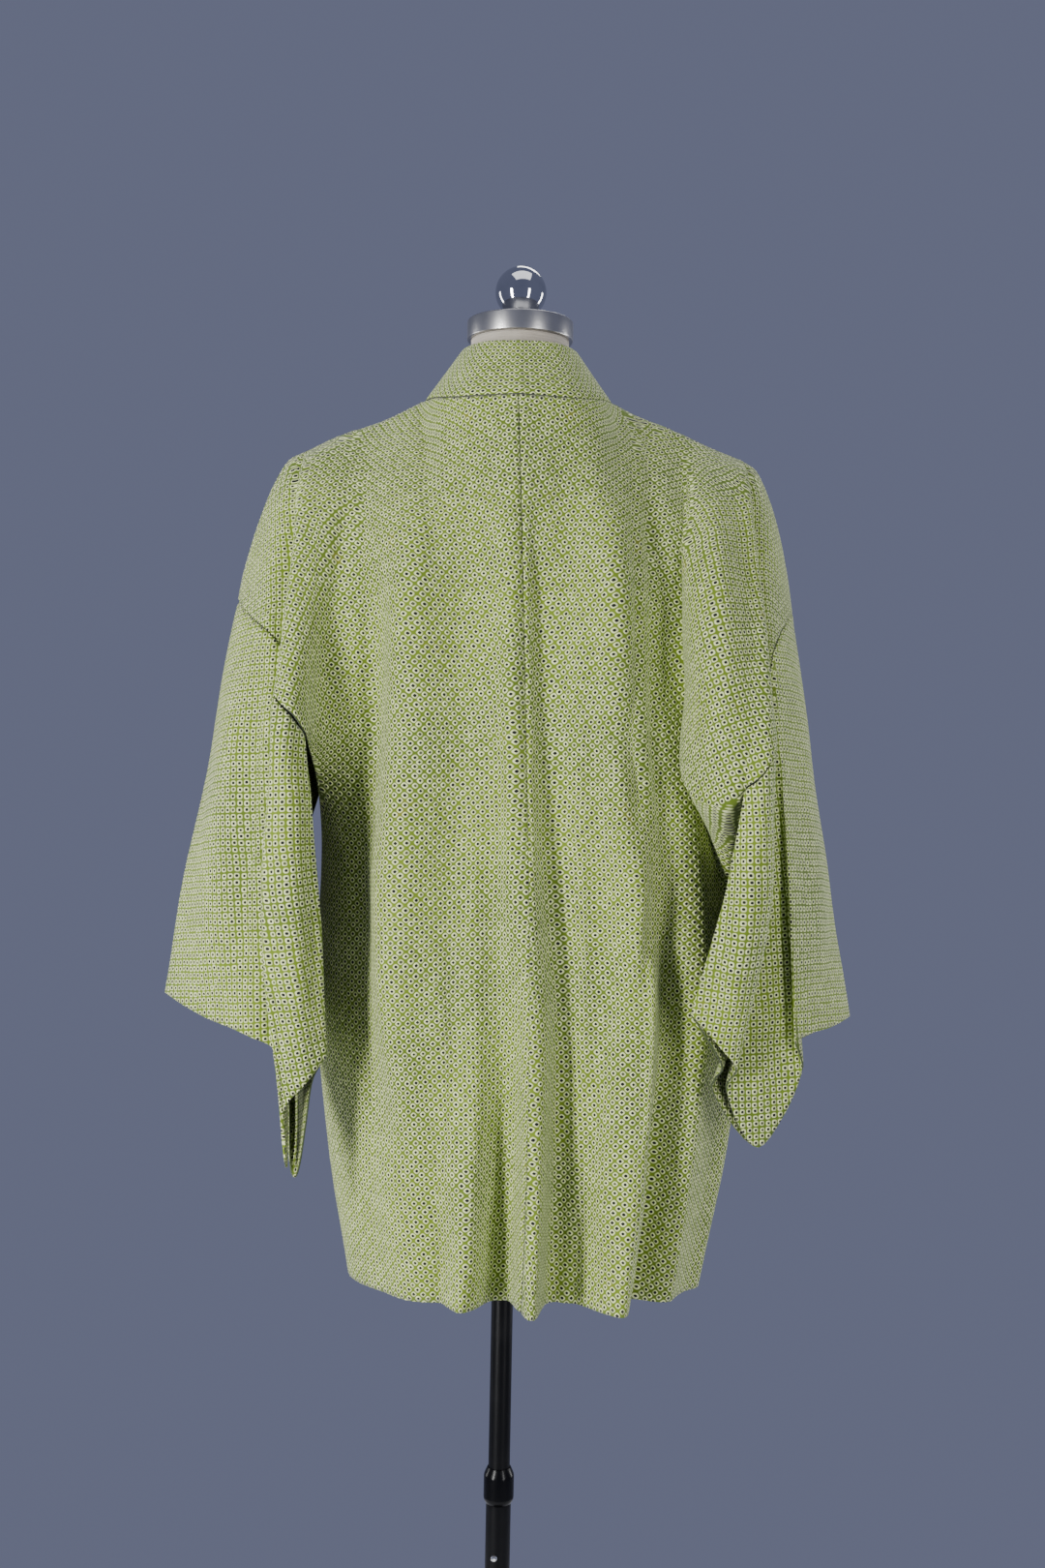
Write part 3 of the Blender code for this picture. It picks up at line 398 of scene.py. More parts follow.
# %% Folds of the sleeves and edges of the collar
# folds of shoulder drop and sleeve, from the underarm round to the outer edge: place on the
# shoulder line, out and forward at underarm level, out and forward half way down, height
# of the sleeve seam, then out, forward and height of the fold's lower end
SLEEVE_FOLDS = {
    ("left", "back"): (
        ("open edge", 0.164, 0.1690, -0.1300, 0.1526, -0.1340, 1.183, 0.1465, -0.1200, 0.9200),
        ("column", 0.176, 0.1800, -0.1470, 0.1750, -0.1510, 1.198, 0.1640, -0.1290, 0.8960),
        ("near edge", 0.182, 0.1905, -0.1460, 0.1900, -0.1480, 1.208, 0.1815, -0.1210, 0.8720),
        ("column edge", 0.186, 0.1955, -0.1370, 0.1990, -0.1380, 1.219, 0.1775, -0.1150, 0.8265),
        ("tuck", 0.186, 0.1840, -0.0880, 0.1850, -0.0860, 1.238, 0.1850, -0.0880, 0.9060),
        ("outer ridge", 0.186, 0.2090, -0.0890, 0.2140, -0.0930, 1.266, 0.2110, -0.0950, 0.9290),
        ("outer face", 0.186, 0.2380, -0.0620, 0.2500, -0.0640, 1.284, 0.2560, -0.0640, 0.9410),
    ),
    ("left", "front"): (
        ("open edge", 0.164, 0.1720, 0.1120, 0.1930, 0.0250, 1.176, 0.1465, -0.1160, 0.9195),
        ("column", 0.176, 0.1850, 0.1280, 0.2030, 0.0420, 1.192, 0.1600, -0.1170, 0.8950),
        ("near edge", 0.182, 0.1950, 0.1260, 0.2100, 0.0440, 1.205, 0.1690, -0.1100, 0.8270),
        ("column edge", 0.186, 0.2020, 0.1140, 0.2140, 0.0330, 1.214, 0.1760, -0.1060, 0.8262),
        ("tuck", 0.186, 0.1980, 0.0940, 0.2200, 0.0280, 1.236, 0.1850, -0.0700, 0.9080),
        ("outer valley", 0.186, 0.2080, 0.0740, 0.2220, 0.0080, 1.262, 0.2090, -0.0400, 0.9240),
        ("outer face", 0.186, 0.2380, 0.0520, 0.2520, 0.0360, 1.282, 0.2520, 0.0060, 0.9280),
    ),
    ("right", "back"): (
        ("open edge", 0.180, 0.1947, -0.1480, 0.1684, -0.1480, 1.144, 0.1490, -0.1390, 0.9620),
        ("inner face", 0.190, 0.2060, -0.1560, 0.1920, -0.1580, 1.158, 0.1770, -0.1400, 0.9310),
        ("inner edge", 0.197, 0.2140, -0.1400, 0.2103, -0.1440, 1.186, 0.1890, -0.1290, 0.9140),
        ("tuck", 0.197, 0.2040, -0.1080, 0.2050, -0.1130, 1.215, 0.1810, -0.1150, 0.8960),
        ("middle face", 0.197, 0.2110, -0.1040, 0.2170, -0.1060, 1.228, 0.2102, -0.1060, 0.8480),
        ("middle edge", 0.197, 0.2180, -0.0990, 0.2350, -0.0970, 1.242, 0.2480, -0.0950, 0.9085),
        ("outer lip", 0.197, 0.2245, -0.0980, 0.2315, -0.1120, 1.262, 0.2370, -0.1110, 0.9370),
        ("outer face", 0.197, 0.2450, -0.0640, 0.2620, -0.0670, 1.288, 0.2750, -0.0670, 0.9430),
    ),
    ("right", "front"): (
        ("open edge", 0.180, 0.1860, 0.1160, 0.2240, -0.0050, 1.160, 0.1490, -0.1345, 0.9615),
        ("inner face", 0.190, 0.1980, 0.1280, 0.2260, 0.0110, 1.172, 0.1700, -0.1345, 0.9305),
        ("inner edge", 0.197, 0.2120, 0.1140, 0.2320, 0.0040, 1.196, 0.1760, -0.1285, 0.9145),
        ("tuck", 0.197, 0.2090, 0.0920, 0.2340, -0.0080, 1.218, 0.1690, -0.1130, 0.8950),
        ("middle face", 0.197, 0.2110, 0.0800, 0.2370, -0.0220, 1.230, 0.2095, -0.0990, 0.8485),
        ("middle edge", 0.197, 0.2200, 0.0740, 0.2430, -0.0160, 1.244, 0.2400, -0.0930, 0.9085),
        ("outer valley", 0.197, 0.2230, 0.0640, 0.2500, 0.0020, 1.264, 0.2440, -0.0520, 0.9240),
        ("outer face", 0.197, 0.2450, 0.0480, 0.2660, 0.0320, 1.286, 0.2720, 0.0000, 0.9300),
    ),
}
# outermost fold of each sleeve, shared by back and front, same columns
SLEEVE_OUTER = {
    "left": ("outer edge", 0.186, 0.2660, -0.0060, 0.2915, -0.012, 1.303, 0.3050, -0.018, 0.957),
    "right": ("outer edge", 0.197, 0.2630, -0.0060, 0.2845, -0.010, 1.301, 0.3015, -0.018, 0.947),
}
# the collar's two long edges, for the wearer's right: inner edge out, forward and height, then
# the sewn edge out, forward and height
COLLAR = (
    ("nape", 0.000, -0.0560, 1.5250, 0.000, -0.0920, 1.4720),
    ("nape side", 0.031, -0.0480, 1.5250, 0.048, -0.0750, 1.4725),
    ("neck side", 0.0500, -0.0160, 1.5230, 0.0790, -0.0230, 1.4800),
    ("neck front", 0.0515, 0.0200, 1.5080, 0.0800, 0.0240, 1.4720),
    ("collarbone", 0.0430, 0.0720, 1.4520, 0.0880, 0.0700, 1.4330),
    ("chest", 0.0400, 0.1240, 1.3400, 0.0940, 0.1220, 1.3300),
    ("bust", 0.0420, 0.1480, 1.2200, 0.0970, 0.1420, 1.2180),
    ("waist", 0.0430, 0.1460, 1.0000, 0.0985, 0.1400, 1.0000),
    ("hem", 0.0440, 0.1320, 0.7100, 0.0990, 0.1250, 0.7120),
)
sleeve_count = sum(len(folds) for folds in SLEEVE_FOLDS.values())
print("folds:", len(BODY_FOLDS), "on the body,", sleeve_count, "on the sleeves")


# %% Reading a table as a smooth curve
def ease(t):
    """0 to 1 with flat ends."""
    t = np.clip(t, 0.0, 1.0)
    return t * t * (3.0 - 2.0 * t)


def curve(knots, rows, at):
    """Smooth curve through rows (one row per knot), read at the places in `at`."""
    knots, rows = np.asarray(knots, float), np.asarray(rows, float)
    at = np.atleast_1d(at).astype(float)
    slope = np.gradient(rows, knots, axis=0)
    k = np.clip(np.searchsorted(knots, at, side="right") - 1, 0, len(knots) - 2)
    step = knots[k + 1] - knots[k]
    t = (at - knots[k]) / step
    shape = (-1,) + (1,) * (rows.ndim - 1)
    t, step = t.reshape(shape), step.reshape(shape)
    return ((2 * t**3 - 3 * t**2 + 1) * rows[k] + (t**3 - 2 * t**2 + t) * step * slope[k]
            + (3 * t**2 - 2 * t**3) * rows[k + 1] + (t**3 - t**2) * step * slope[k + 1])


# %% A point of the hanging body
def fold_push(share, height):
    """How far the folds push the body cloth outward at a signed share round."""
    level = np.clip((SHOULDER_LOW - height) / (SHOULDER_LOW - HEM), 0.0, 1.0)
    levels = (0.0, 0.45, 1.0)
    push = 0.0
    for _, top, mid, low, left, right, *rises in BODY_FOLDS:
        place = np.interp(level, levels, (top, mid, low))
        reach = left if share < place else right
        t = min(abs(share - place) / reach, 1.0)
        push += np.interp(level, levels, rises) * (0.5 + 0.5 * math.cos(math.pi * t))
    return push


def body_point(sign, share, height):
    """Point of the hanging body: share 0 is centre back, 1 is centre front."""
    heights, plans = [-r[0] for r in BODY_PLAN], [r[1:] for r in BODY_PLAN]
    place = np.clip(-height, heights[0], heights[-1])
    shift, half, back, front = curve(heights, plans, place)[0]
    turn = np.linspace(0.0, math.pi, PLAN_STEPS)
    wide = half * np.abs(np.sin(turn)) ** (2 / TUBE_POWER)
    deep = np.where(turn < math.pi / 2, back, front)
    fore = -deep * np.sign(np.cos(turn)) * np.abs(np.cos(turn)) ** (2 / TUBE_POWER)
    run = np.concatenate(([0.0], np.cumsum(np.hypot(np.diff(wide), np.diff(fore)))))
    run /= run[-1]

    def plan(at):
        """Place on the plan, which is mirrored past the centre back."""
        side = math.copysign(1.0, at)
        return side * np.interp(abs(at), run, wide), np.interp(abs(at), run, fore)

    x, y = plan(share)
    tx, ty = np.subtract(plan(share + 0.01), plan(share - 0.01))
    size = math.hypot(tx, ty)
    push = fold_push(sign * share, height)
    return np.array((shift + sign * (x + push * ty / size), y - push * tx / size, height))


# %% Shoulder line and collar edges
def shoulder_point(side, out):
    """Point of the cloth on the shoulder line."""
    height = curve(*zip(*SHOULDER[side]), out)[0]
    return np.array((SIDES[side] * out, SHOULDER_FORE, height))


def collar_edge(side, along, edge):
    """Collar's inner or sewn edge at a place along it (in rows of the table)."""
    first = {"inner": 1, "sewn": 4}[edge]
    x, y, z = curve(range(len(COLLAR)), [r[first:first + 3] for r in COLLAR], along)[0]
    return np.array((SIDES[side] * x, y, z))


def body_neck(side, along):
    """Body's neck edge, a gap beyond the collar's sewn edge."""
    inner, sewn = (collar_edge(side, along, edge) for edge in ("inner", "sewn"))
    return sewn + (sewn - inner) / np.linalg.norm(sewn - inner) * NECK_GAP


def sewn_edge_at(side, height):
    """Collar's sewn edge at a height on the front, moved out by the seam gap."""
    rows = COLLAR[2:]
    x, y = curve([-r[6] for r in rows], [r[4:6] for r in rows], -min(height, rows[0][6]))[0]
    return np.array((SIDES[side] * (x + NECK_GAP), y, height))


# %% Lines that hang from the shoulder
def upper_line(start, end, sweep):
    """Cloth from the shoulder down to underarm level, round over the shoulder."""
    line = []
    for w in np.linspace(0.0, 1.0, UPPER_ROWS + 1):
        fall = w ** FALL
        fore = 1.0 - (1.0 - min(fall / sweep, 1.0)) ** FALL_ROUND
        shares = (fall ** FALL_OUT, fore, fall)
        line.append([a + (b - a) * share for a, b, share in zip(start, end, shares)])
    return line


def lower_heights(top):
    """Heights of the rows below `top`, down to the hem."""
    return [top + (HEM - top) * w for w in np.linspace(0.0, 1.0, LOWER_ROWS + 1)[1:]]


def hung(sign, share, height, shift):
    """Point of the hanging body moved by a level shift. Above the underarm its plan stays."""
    point = body_point(sign, share, min(height, SHOULDER_LOW)) + np.append(shift, 0.0)
    point[2] = height
    return point


def side_share(face, height):
    """Share round at the panel's side edge, which the gusset parts."""
    if face == "back":
        return SIDE_EDGE
    open_by = np.clip((GUSSET_TOP - height) / (GUSSET_TOP - HEM), 0.0, 1.0)
    return SIDE_EDGE + GUSSET_TOP_SHARE + (GUSSET_HEM_SHARE - GUSSET_TOP_SHARE) * open_by


def shoulder_place(side, t):
    """Distance out on the shoulder line, t 0 at the neck and 1 at the armhole."""
    return NECK_HALF + (ARMHOLE_FOLDS[side, "back"][0][1] - NECK_HALF) * t


def back_line(side, n):
    """One hanging line of the back: n 0 is the centre back seam."""
    sign = SIDES[side]
    share = max(n / (NECK_LINES + SHOULDER_LINES) * BACK_SHARE, SEAM_GAP * 0.6)
    if n < NECK_LINES:
        top = body_neck(side, 2.0 * n / NECK_LINES)
        top[0] += SEAM_GAP / 2 * sign if n == 0 else 0.0
    else:
        top = shoulder_point(side, shoulder_place(side, (n - NECK_LINES) / SHOULDER_LINES))
    end = body_point(sign, share, SHOULDER_LOW)
    below = [body_point(sign, share, height) for height in lower_heights(SHOULDER_LOW)]
    return upper_line(top, end, BACK_SWEEP) + below


def front_line(side, t):
    """One hanging line of a front: t 0 is the edge sewn to the collar."""
    sign = SIDES[side]
    top = shoulder_point(side, shoulder_place(side, t))
    heights = [top[2] + (SHOULDER_LOW - top[2]) * (j / UPPER_ROWS) ** FRONT_FALL
               for j in range(UPPER_ROWS + 1)]
    heights += [SHOULDER_LOW + (HEM - SHOULDER_LOW) * j / LOWER_ROWS
                for j in range(1, LOWER_ROWS + 1)]
    line = []
    for height in heights:
        edge = sewn_edge_at(side, height)
        full = body_point(sign, FRONT_EDGE, min(height, SHOULDER_LOW))
        hang = hung(sign, FRONT_EDGE + (FRONT_SHARE - FRONT_EDGE) * t, height,
                    (edge - full)[:2] * (1.0 - t) ** COLLAR_PULL)
        if height > SHOULDER_LOW:
            w = (top[2] - height) / (top[2] - SHOULDER_LOW)
            sweep = 1.0 - (1.0 - min(w / SIDE_SWEEP, 1.0)) ** FRONT_ROUND
            hang[:2] = top[:2] + (hang[:2] - top[:2]) * (w, sweep)
            near = (1.0 - t) ** COLLAR_PULL_UP * ease(w * COLLAR_SOON)
            hang[:2] += (edge[:2] - hang[:2]) * near
        line.append(hang)
    return line


# %% Lines of the sleeve folds
def sleeve_folds(side, face):
    return SLEEVE_FOLDS[side, face] + (SLEEVE_OUTER[side],)


def sleeve_point(side, fold, height):
    """Point of one sleeve fold at a height."""
    _, place, x_arm, y_arm, x_low, y_low, _, x_end, y_end, z_end = fold
    if height >= SHOULDER_LOW:
        top = shoulder_point(side, place)[2]
        w = (top - height) / (top - SHOULDER_LOW)
        x = place + (x_arm - place) * w ** DROP_OUT
        y = SHOULDER_FORE + (y_arm - SHOULDER_FORE) * w ** DROP_FORE
    else:
        places = ((x_arm, y_arm), (x_low, y_low), (x_end, y_end))
        x, y = curve((-SHOULDER_LOW, -SLEEVE_MID, -z_end), places, -height)[0]
    return np.array((SIDES[side] * x, y, height))


def drop_line(side, fold):
    """Shoulder drop along one fold, from the shoulder tip to the sleeve seam."""
    tip = shoulder_point(side, fold[1])
    return [tip] + [sleeve_point(side, fold, tip[2] + (fold[6] - tip[2]) * w ** FALL)
                    for w in np.linspace(0.0, 1.0, UPPER_ROWS + 1)[1:]]


def sleeve_line(side, fold):
    """Sleeve along one fold, from its seam to its lower end."""
    seam, end = fold[6], fold[9]
    return [sleeve_point(side, fold, seam + (end - seam) * w)
            for w in np.linspace(0.0, 1.0, SLEEVE_ROWS + 1)]


# %% All lines of one face of the body
def body_lines(side, face):
    """All hanging lines of one face of a body piece, from its centre edge outward."""
    sign = SIDES[side]
    if face == "back":
        first, gap = BACK_SHARE, 0.0
        lines = [back_line(side, n) for n in range(NECK_LINES + SHOULDER_LINES)]
    else:
        first, gap = FRONT_SHARE, SEAM_GAP
        lines = [front_line(side, n / SHOULDER_LINES) for n in range(SHOULDER_LINES)]
    tops = [upper_line(shoulder_point(side, place), (sign * x, y, z), SIDE_SWEEP)
            for _, place, x, y, z in ARMHOLE_FOLDS[side, face]]
    tops.append(drop_line(side, sleeve_folds(side, face)[0]))
    for n, line in enumerate(tops, 1):
        t, end = n / len(tops), line[-1]
        start = first + (side_share(face, SHOULDER_LOW) - first) * t
        shift = (end - body_point(sign, start, SHOULDER_LOW))[:2]
        for height in lower_heights(end[2]):
            left = max(1.0 - (end[2] - height) / ARMHOLE_BLEND, 0.0) ** 3
            share = first + (side_share(face, height) - first) * t
            line.append(hung(sign, share, height, shift * left) + (0.0, gap, 0.0))
    return lines + tops


# %% From lines to a smooth sheet
def places_between(cuts):
    """Places of `cuts[k]` even steps between line k and the next."""
    steps = [k + i / count for k, count in enumerate(cuts) for i in range(count)]
    return steps + [float(len(cuts))]


def refine(lines, cuts):
    """Adds `cuts[k] - 1` smooth lines between line k and the next."""
    return curve(range(len(lines)), lines, places_between(cuts))


def soften(lines, first, hold):
    """Rounds the folds from line `first` on, so the wall turns without pinching.

    Each point moves level towards its neighbours; a higher hold moves it less.
    """
    lines = lines.copy()
    near = lines[first - 1:-2, :, :2] + lines[first + 1:, :, :2]
    lines[first:-1, :, :2] = (near + hold * lines[first:-1, :, :2]) / (2 + hold)
    return lines


def sleeve_grid(side):
    """Sleeve from its open back edge round to its open front edge."""
    folds = [*sleeve_folds(side, "back"), *reversed(SLEEVE_FOLDS[side, "front"])]
    lines = [sleeve_line(side, fold) for fold in folds]
    return soften(refine(lines, [2] * (len(lines) - 1)), 1, hold=10)


print("a back line has", len(back_line("left", 3)), "points")

# %% [markdown]
# ## Laying the cloth flat
# The dots are drawn on flat cloth, so each panel is laid flat in the computer too. Every edge
# of the panel's grid is treated as a thread of fixed length, and the flat layout is the one in
# which those lengths change least. It starts from the lengths along the rows and lines, and
# each round moves every point to where its threads want it. Blender's own unwrap could do
# this, but a short solver gives the panel in metres and with its grain upright.

# %% Flat layout from thread lengths
def lay_flat(points, threads, flat, rounds=160):
    """Flat places of points, whose threads (pairs of points) keep their lengths.

    flat holds the places to start from.
    """
    first, second = np.unique(np.sort(threads, axis=1), axis=0).T
    length = np.linalg.norm(points[first] - points[second], axis=1)
    keep = length > 1e-5
    first, second, length = first[keep], second[keep], length[keep]
    pull = 1.0 / length ** 1.5
    count = len(points)
    system = np.zeros((count, count))
    for one, two, share in ((first, first, pull), (second, second, pull),
                            (first, second, -pull), (second, first, -pull)):
        np.add.at(system, (one, two), share)
    solve = np.linalg.inv(system + np.eye(count) * 1e-6 * pull.mean())
    for _ in range(rounds):
        gap = flat[first] - flat[second]
        gap *= (pull * length / np.maximum(np.linalg.norm(gap, axis=1), 1e-7))[:, None]
        want = np.zeros_like(flat)
        np.add.at(want, first, gap)
        np.add.at(want, second, -gap)
        flat = solve @ want
    off = np.abs(np.linalg.norm(flat[first] - flat[second], axis=1) / length - 1).mean()
    print("  laid flat:", count, "points, threads off by", round(float(off) * 100, 1), "%")
    return flat


def upright(flat, line):
    """Turns a flat layout so that the points in `line` run down from (0, 0)."""
    run = flat[line] - flat[line].mean(axis=0)
    way = np.linalg.svd(run)[2][0]
    if way @ (run[-1] - run[0]) > 0:
        way = -way
    turned = np.stack([flat @ np.array((way[1], -way[0])), flat @ way], axis=1)
    return turned - turned[line[0]]


# %% One panel from several grids
def in_a_row(grids):
    """The points of several grids, one after another."""
    return np.concatenate([grid.reshape(-1, grid.shape[-1]) for grid in grids])


def number_points(grids, reach):
    """Numbers the points of grids. Points in the same step of size `reach` share a number.

    Gives the numbers as a grid for each grid, and the first point of each number.
    """
    keys = np.round(in_a_row(grids) / reach).astype(int)
    _, first, number = np.unique(keys, axis=0, return_index=True, return_inverse=True)
    order = np.argsort(first)
    number = np.argsort(order)[number.ravel()]
    ends = np.cumsum([grid[..., 0].size for grid in grids])[:-1]
    ids = [own.reshape(grid.shape[:2]) for own, grid in zip(np.split(number, ends), grids)]
    return ids, first[order]


def flat_panel(grids, guesses, line):
    """Lays joined grids flat together. line picks the point numbers that run upright."""
    ids, first = number_points(grids, reach=0.000005)
    threads = []
    for own in ids:
        for one, two in ((own[1:], own[:-1]), (own[:, 1:], own[:, :-1]),
                         (own[1:, 1:], own[:-1, :-1]), (own[1:, :-1], own[:-1, 1:])):
            threads.append(np.stack([one.ravel(), two.ravel()], axis=1))
    flat = lay_flat(in_a_row(grids)[first], np.concatenate(threads), in_a_row(guesses)[first])
    flat = upright(flat, line(ids))
    return [flat[own] for own in ids]


def cut_size(flats):
    """Width, length and area of a panel laid flat."""
    area = 0.0
    for flat in flats:
        one, two = flat[1:, 1:] - flat[:-1, :-1], flat[1:, :-1] - flat[:-1, 1:]
        area += abs(float((one[..., 0] * two[..., 1] - one[..., 1] * two[..., 0]).sum())) / 2
    width, length = np.ptp(in_a_row(flats), axis=0).tolist()
    print("  cut", round(width, 3), "by", round(length, 3), "m, area", round(area, 4))
    return width, length, area


def run_lengths(grid, axis):
    """Length along the cloth from the first line (axis 0) or row (axis 1)."""
    step = np.linalg.norm(np.diff(grid, axis=axis), axis=2)
    zero = np.zeros_like(step[:1] if axis == 0 else step[:, :1])
    return np.concatenate([zero, np.cumsum(step, axis=axis)], axis=axis)


# %% [markdown]
# ## From a grid to a sewn sheet
# A sheet of cloth is two skins a little more than a millimetre apart, joined by a narrow
# turned edge. The grid is read as a smooth surface and cut into pieces of about 5 mm, then
# creases are laid on it: soft troughs and ridges along short paths, each with its own width
# and depth. At a sewn edge the last few millimetres dip inwards, as cloth does where stitches
# pull it down, so a seam shows as a fine dark line.

# %% Smooth subdivision of a grid
def smooth_grid(grid):
    """More lines and rows, read on a smooth surface through the grid's points."""
    for cuts in (LINE_CUTS, ROW_CUTS):
        count = len(grid)
        at = np.linspace(0, count - 1, (count - 1) * cuts + 1)
        grid = curve(range(count), grid, at).transpose(1, 0, 2)
    return grid


def sheet_normals(grid):
    """Unit normals of a grid, out of the cloth's right side once signed."""
    normal = np.cross(np.gradient(grid, axis=0), np.gradient(grid, axis=1))
    size = np.linalg.norm(normal, axis=2)
    rows = grid.shape[1]
    for order in (range(1, rows), range(rows - 2, -1, -1)):
        for j in order:
            weak, near = size[:, j] < 1e-9, j - order.step
            normal[weak, j], size[weak, j] = normal[weak, near], size[weak, near]
    return normal / np.maximum(size, 1e-12)[:, :, None]


# %% Creases
# how steeply a crease fades in at its top and out at its low end, and from what strength
FADE_IN, FADE_OUT, FADE_START = 3.0, 3.5, 0.2
# a crease's width at its top, and how much it gains on the way down, as shares of the width
WIDE_TOP, WIDE_GAIN = 0.8, 0.5
# slow waves: how many, how many radians per metre they turn in x, y and z, how high they are
# in metres, and the spread of so many waves added up
WAVES = 14
WAVE_TURNS = (38.0, 30.0, 20.0)
WAVE_RISE = 0.0007
WAVE_SPREAD = 2.6


def crease_height(points, creases):
    """How far creases lift points. A crease: across at the heights top, middle and low, then
    its width and its height (a valley is below zero). All in metres."""
    across, height = points[..., 0], points[..., 2]
    lift = np.zeros(across.shape)
    for top, x_top, mid, x_mid, low, x_low, width, rise in creases:
        level = -np.clip(height, low, top).ravel()
        path = curve((-top, -mid, -low), (x_top, x_mid, x_low), level).reshape(height.shape)
        slope = math.hypot(1.0, (x_low - x_top) / (top - low))
        along = (top - height) / (top - low)
        fade = ease(along * FADE_IN + FADE_START) * ease((1 - along) * FADE_OUT + FADE_START)
        wide = width * (WIDE_TOP + WIDE_GAIN * np.clip(along, 0, 1))
        lift += rise * fade * np.exp(-((across - path) / slope / wide) ** 2)
    return lift


def unevenness(points, seed):
    """Slow waves in every direction, as cloth that was folded away and worn."""
    rng = np.random.default_rng(seed)
    lift = np.zeros(points.shape[:-1])
    for _ in range(WAVES):
        way = rng.normal(size=3) * WAVE_TURNS
        lift += np.sin(points @ way + rng.uniform(0, 6.28))
    return lift * WAVE_RISE / WAVE_SPREAD


# %% Two skins and a turned edge
def sheet_cells(ids, flat, sign):
    """Cells of a grid as a ring of points with their flat places. Points met twice are left out."""
    for i in range(ids.shape[0] - 1):
        for j in range(ids.shape[1] - 1):
            ring = {}
            for corner in ((i, j), (i + 1, j), (i + 1, j + 1), (i, j + 1))[::int(sign)]:
                ring.setdefault(int(ids[corner]), flat[corner])
            if len(ring) > 2:
                yield list(ring), list(ring.values())


def sewn_sheet(name, patches, thick, materials):
    """A closed thin sheet. A patch is (grid, flat places, sign of its normal, lift)."""
    grids, flats, signs, lifts = zip(*patches)
    ids, first = number_points(grids, reach=0.00002)
    points, lifts = in_a_row(grids)[first], np.concatenate([lift.ravel() for lift in lifts])[first]
    normals = np.zeros_like(points)
    for own, grid, sign in zip(ids, grids, signs):
        np.add.at(normals, own.ravel(), in_a_row([sheet_normals(grid) * sign]))
    normals /= np.maximum(np.linalg.norm(normals, axis=1), 1e-9)[:, None]
    skins = [points + normals * (lifts + half)[:, None] for half in (thick / 2, -thick / 2)]
    cells = [cell for patch in zip(ids, flats, signs) for cell in sheet_cells(*patch)]
    faces, places = [ring for ring, _ in cells], [where for _, where in cells]
    edges = {(ring[n - 1], ring[n]): (where[n - 1], where[n])
             for ring, where in cells for n in range(len(ring))}
    rim = [(pair, where) for pair, where in edges.items() if pair[::-1] not in edges]
    count = len(points)
    shell = faces + [[v + count for v in reversed(ring)] for ring in faces]
    shell += [[b, a, a + count, b + count] for (a, b), _ in rim]
    places += [where[::-1] for where in places] + [[q, p, p, q] for _, (p, q) in rim]
    mesh = bpy.data.meshes.new(name)
    mesh.from_pydata(np.vstack(skins).tolist(), [], shell)
    layer = mesh.uv_layers.new(name="cut")
    layer.data.foreach_set("uv", np.concatenate(places).ravel())
    kinds = [0] * len(faces) + [1] * len(faces) + [2] * len(rim)
    mesh.polygons.foreach_set("material_index", kinds)
    mesh.polygons.foreach_set("use_smooth", [True] * len(kinds))
    for material in materials:
        mesh.materials.append(material)
    print(name, len(mesh.polygons), "faces")
    return placed(name, mesh)


cloths, cuts = {}, {}


def sew(node, patches, inner, flats):
    """Makes the cloth piece of a node and keeps the size it's cut to."""
    cuts[node] = cut_size(flats)
    cloths[node] = sewn_sheet(node + "_cloth", patches, CLOTH_THICK,
                              [outer_silk, inner, turned_edge])


# %% [markdown]
# ## Body of the jacket
# Each side of the body is one long strip: up the back, over the shoulder and down the front,
# with the shoulder's outer end dropped over the arm. Its back edge is sewn to the other side
# down the centre of the back. The four grids of a side, upper and lower back and upper and
# lower front, are laid flat as one panel, so the dots run on over the shoulder.

# %% Grids of one side
def body_grids(side):
    """Upper and lower back, then upper and lower front. Front and back meet on the shoulder."""
    grids, shoulder = [], None
    for face in ("back", "front"):
        lines = body_lines(side, face)
        full = len(lines)
        plain = full - len(ARMHOLE_FOLDS[side, face]) - 1
        drops = [drop_line(side, fold) for fold in sleeve_folds(side, face)[1:]]
        cuts = [1] * (plain - 1) + [2] * (full - plain + len(drops))
        upper = refine([line[:UPPER_ROWS + 1] for line in lines] + drops, cuts)
        lower = refine([line[UPPER_ROWS:] for line in lines], cuts[:full - 1])
        for _ in range(2):
            upper, lower = (soften(part, plain - 1, hold=2) for part in (upper, lower))
        tops = np.array([line[0] for line in lines + drops]).T
        at = places_between(cuts)[plain:]
        upper[plain:, 0] = np.stack([np.interp(at, range(len(tops[0])), c) for c in tops], axis=1)
        seam = sleeve_grid(side)[::1 if face == "back" else -1][:2 * len(drops) + 1, 0]
        up = upper[-len(seam):, -2] - seam
        along = np.gradient(seam, axis=0)
        along /= np.linalg.norm(along, axis=1)[:, None]
        up -= along * (up * along).sum(axis=1)[:, None]
        upper[-len(seam):, -1] = seam + up / np.linalg.norm(up, axis=1)[:, None] * SEAM_GAP
        lower[:, 0] = upper[:len(lower), -1]
        if face == "back":
            shoulder = upper[NECK_LINES:, 0].copy()
        else:
            upper[:, 0] = shoulder
        grids += [upper, lower]
    return grids


# %% Body pieces
# how deep stitches pull the edge, and how near a seam the creases fade out
STITCH_PULL = 0.0009
SEAM_CALM = 0.010
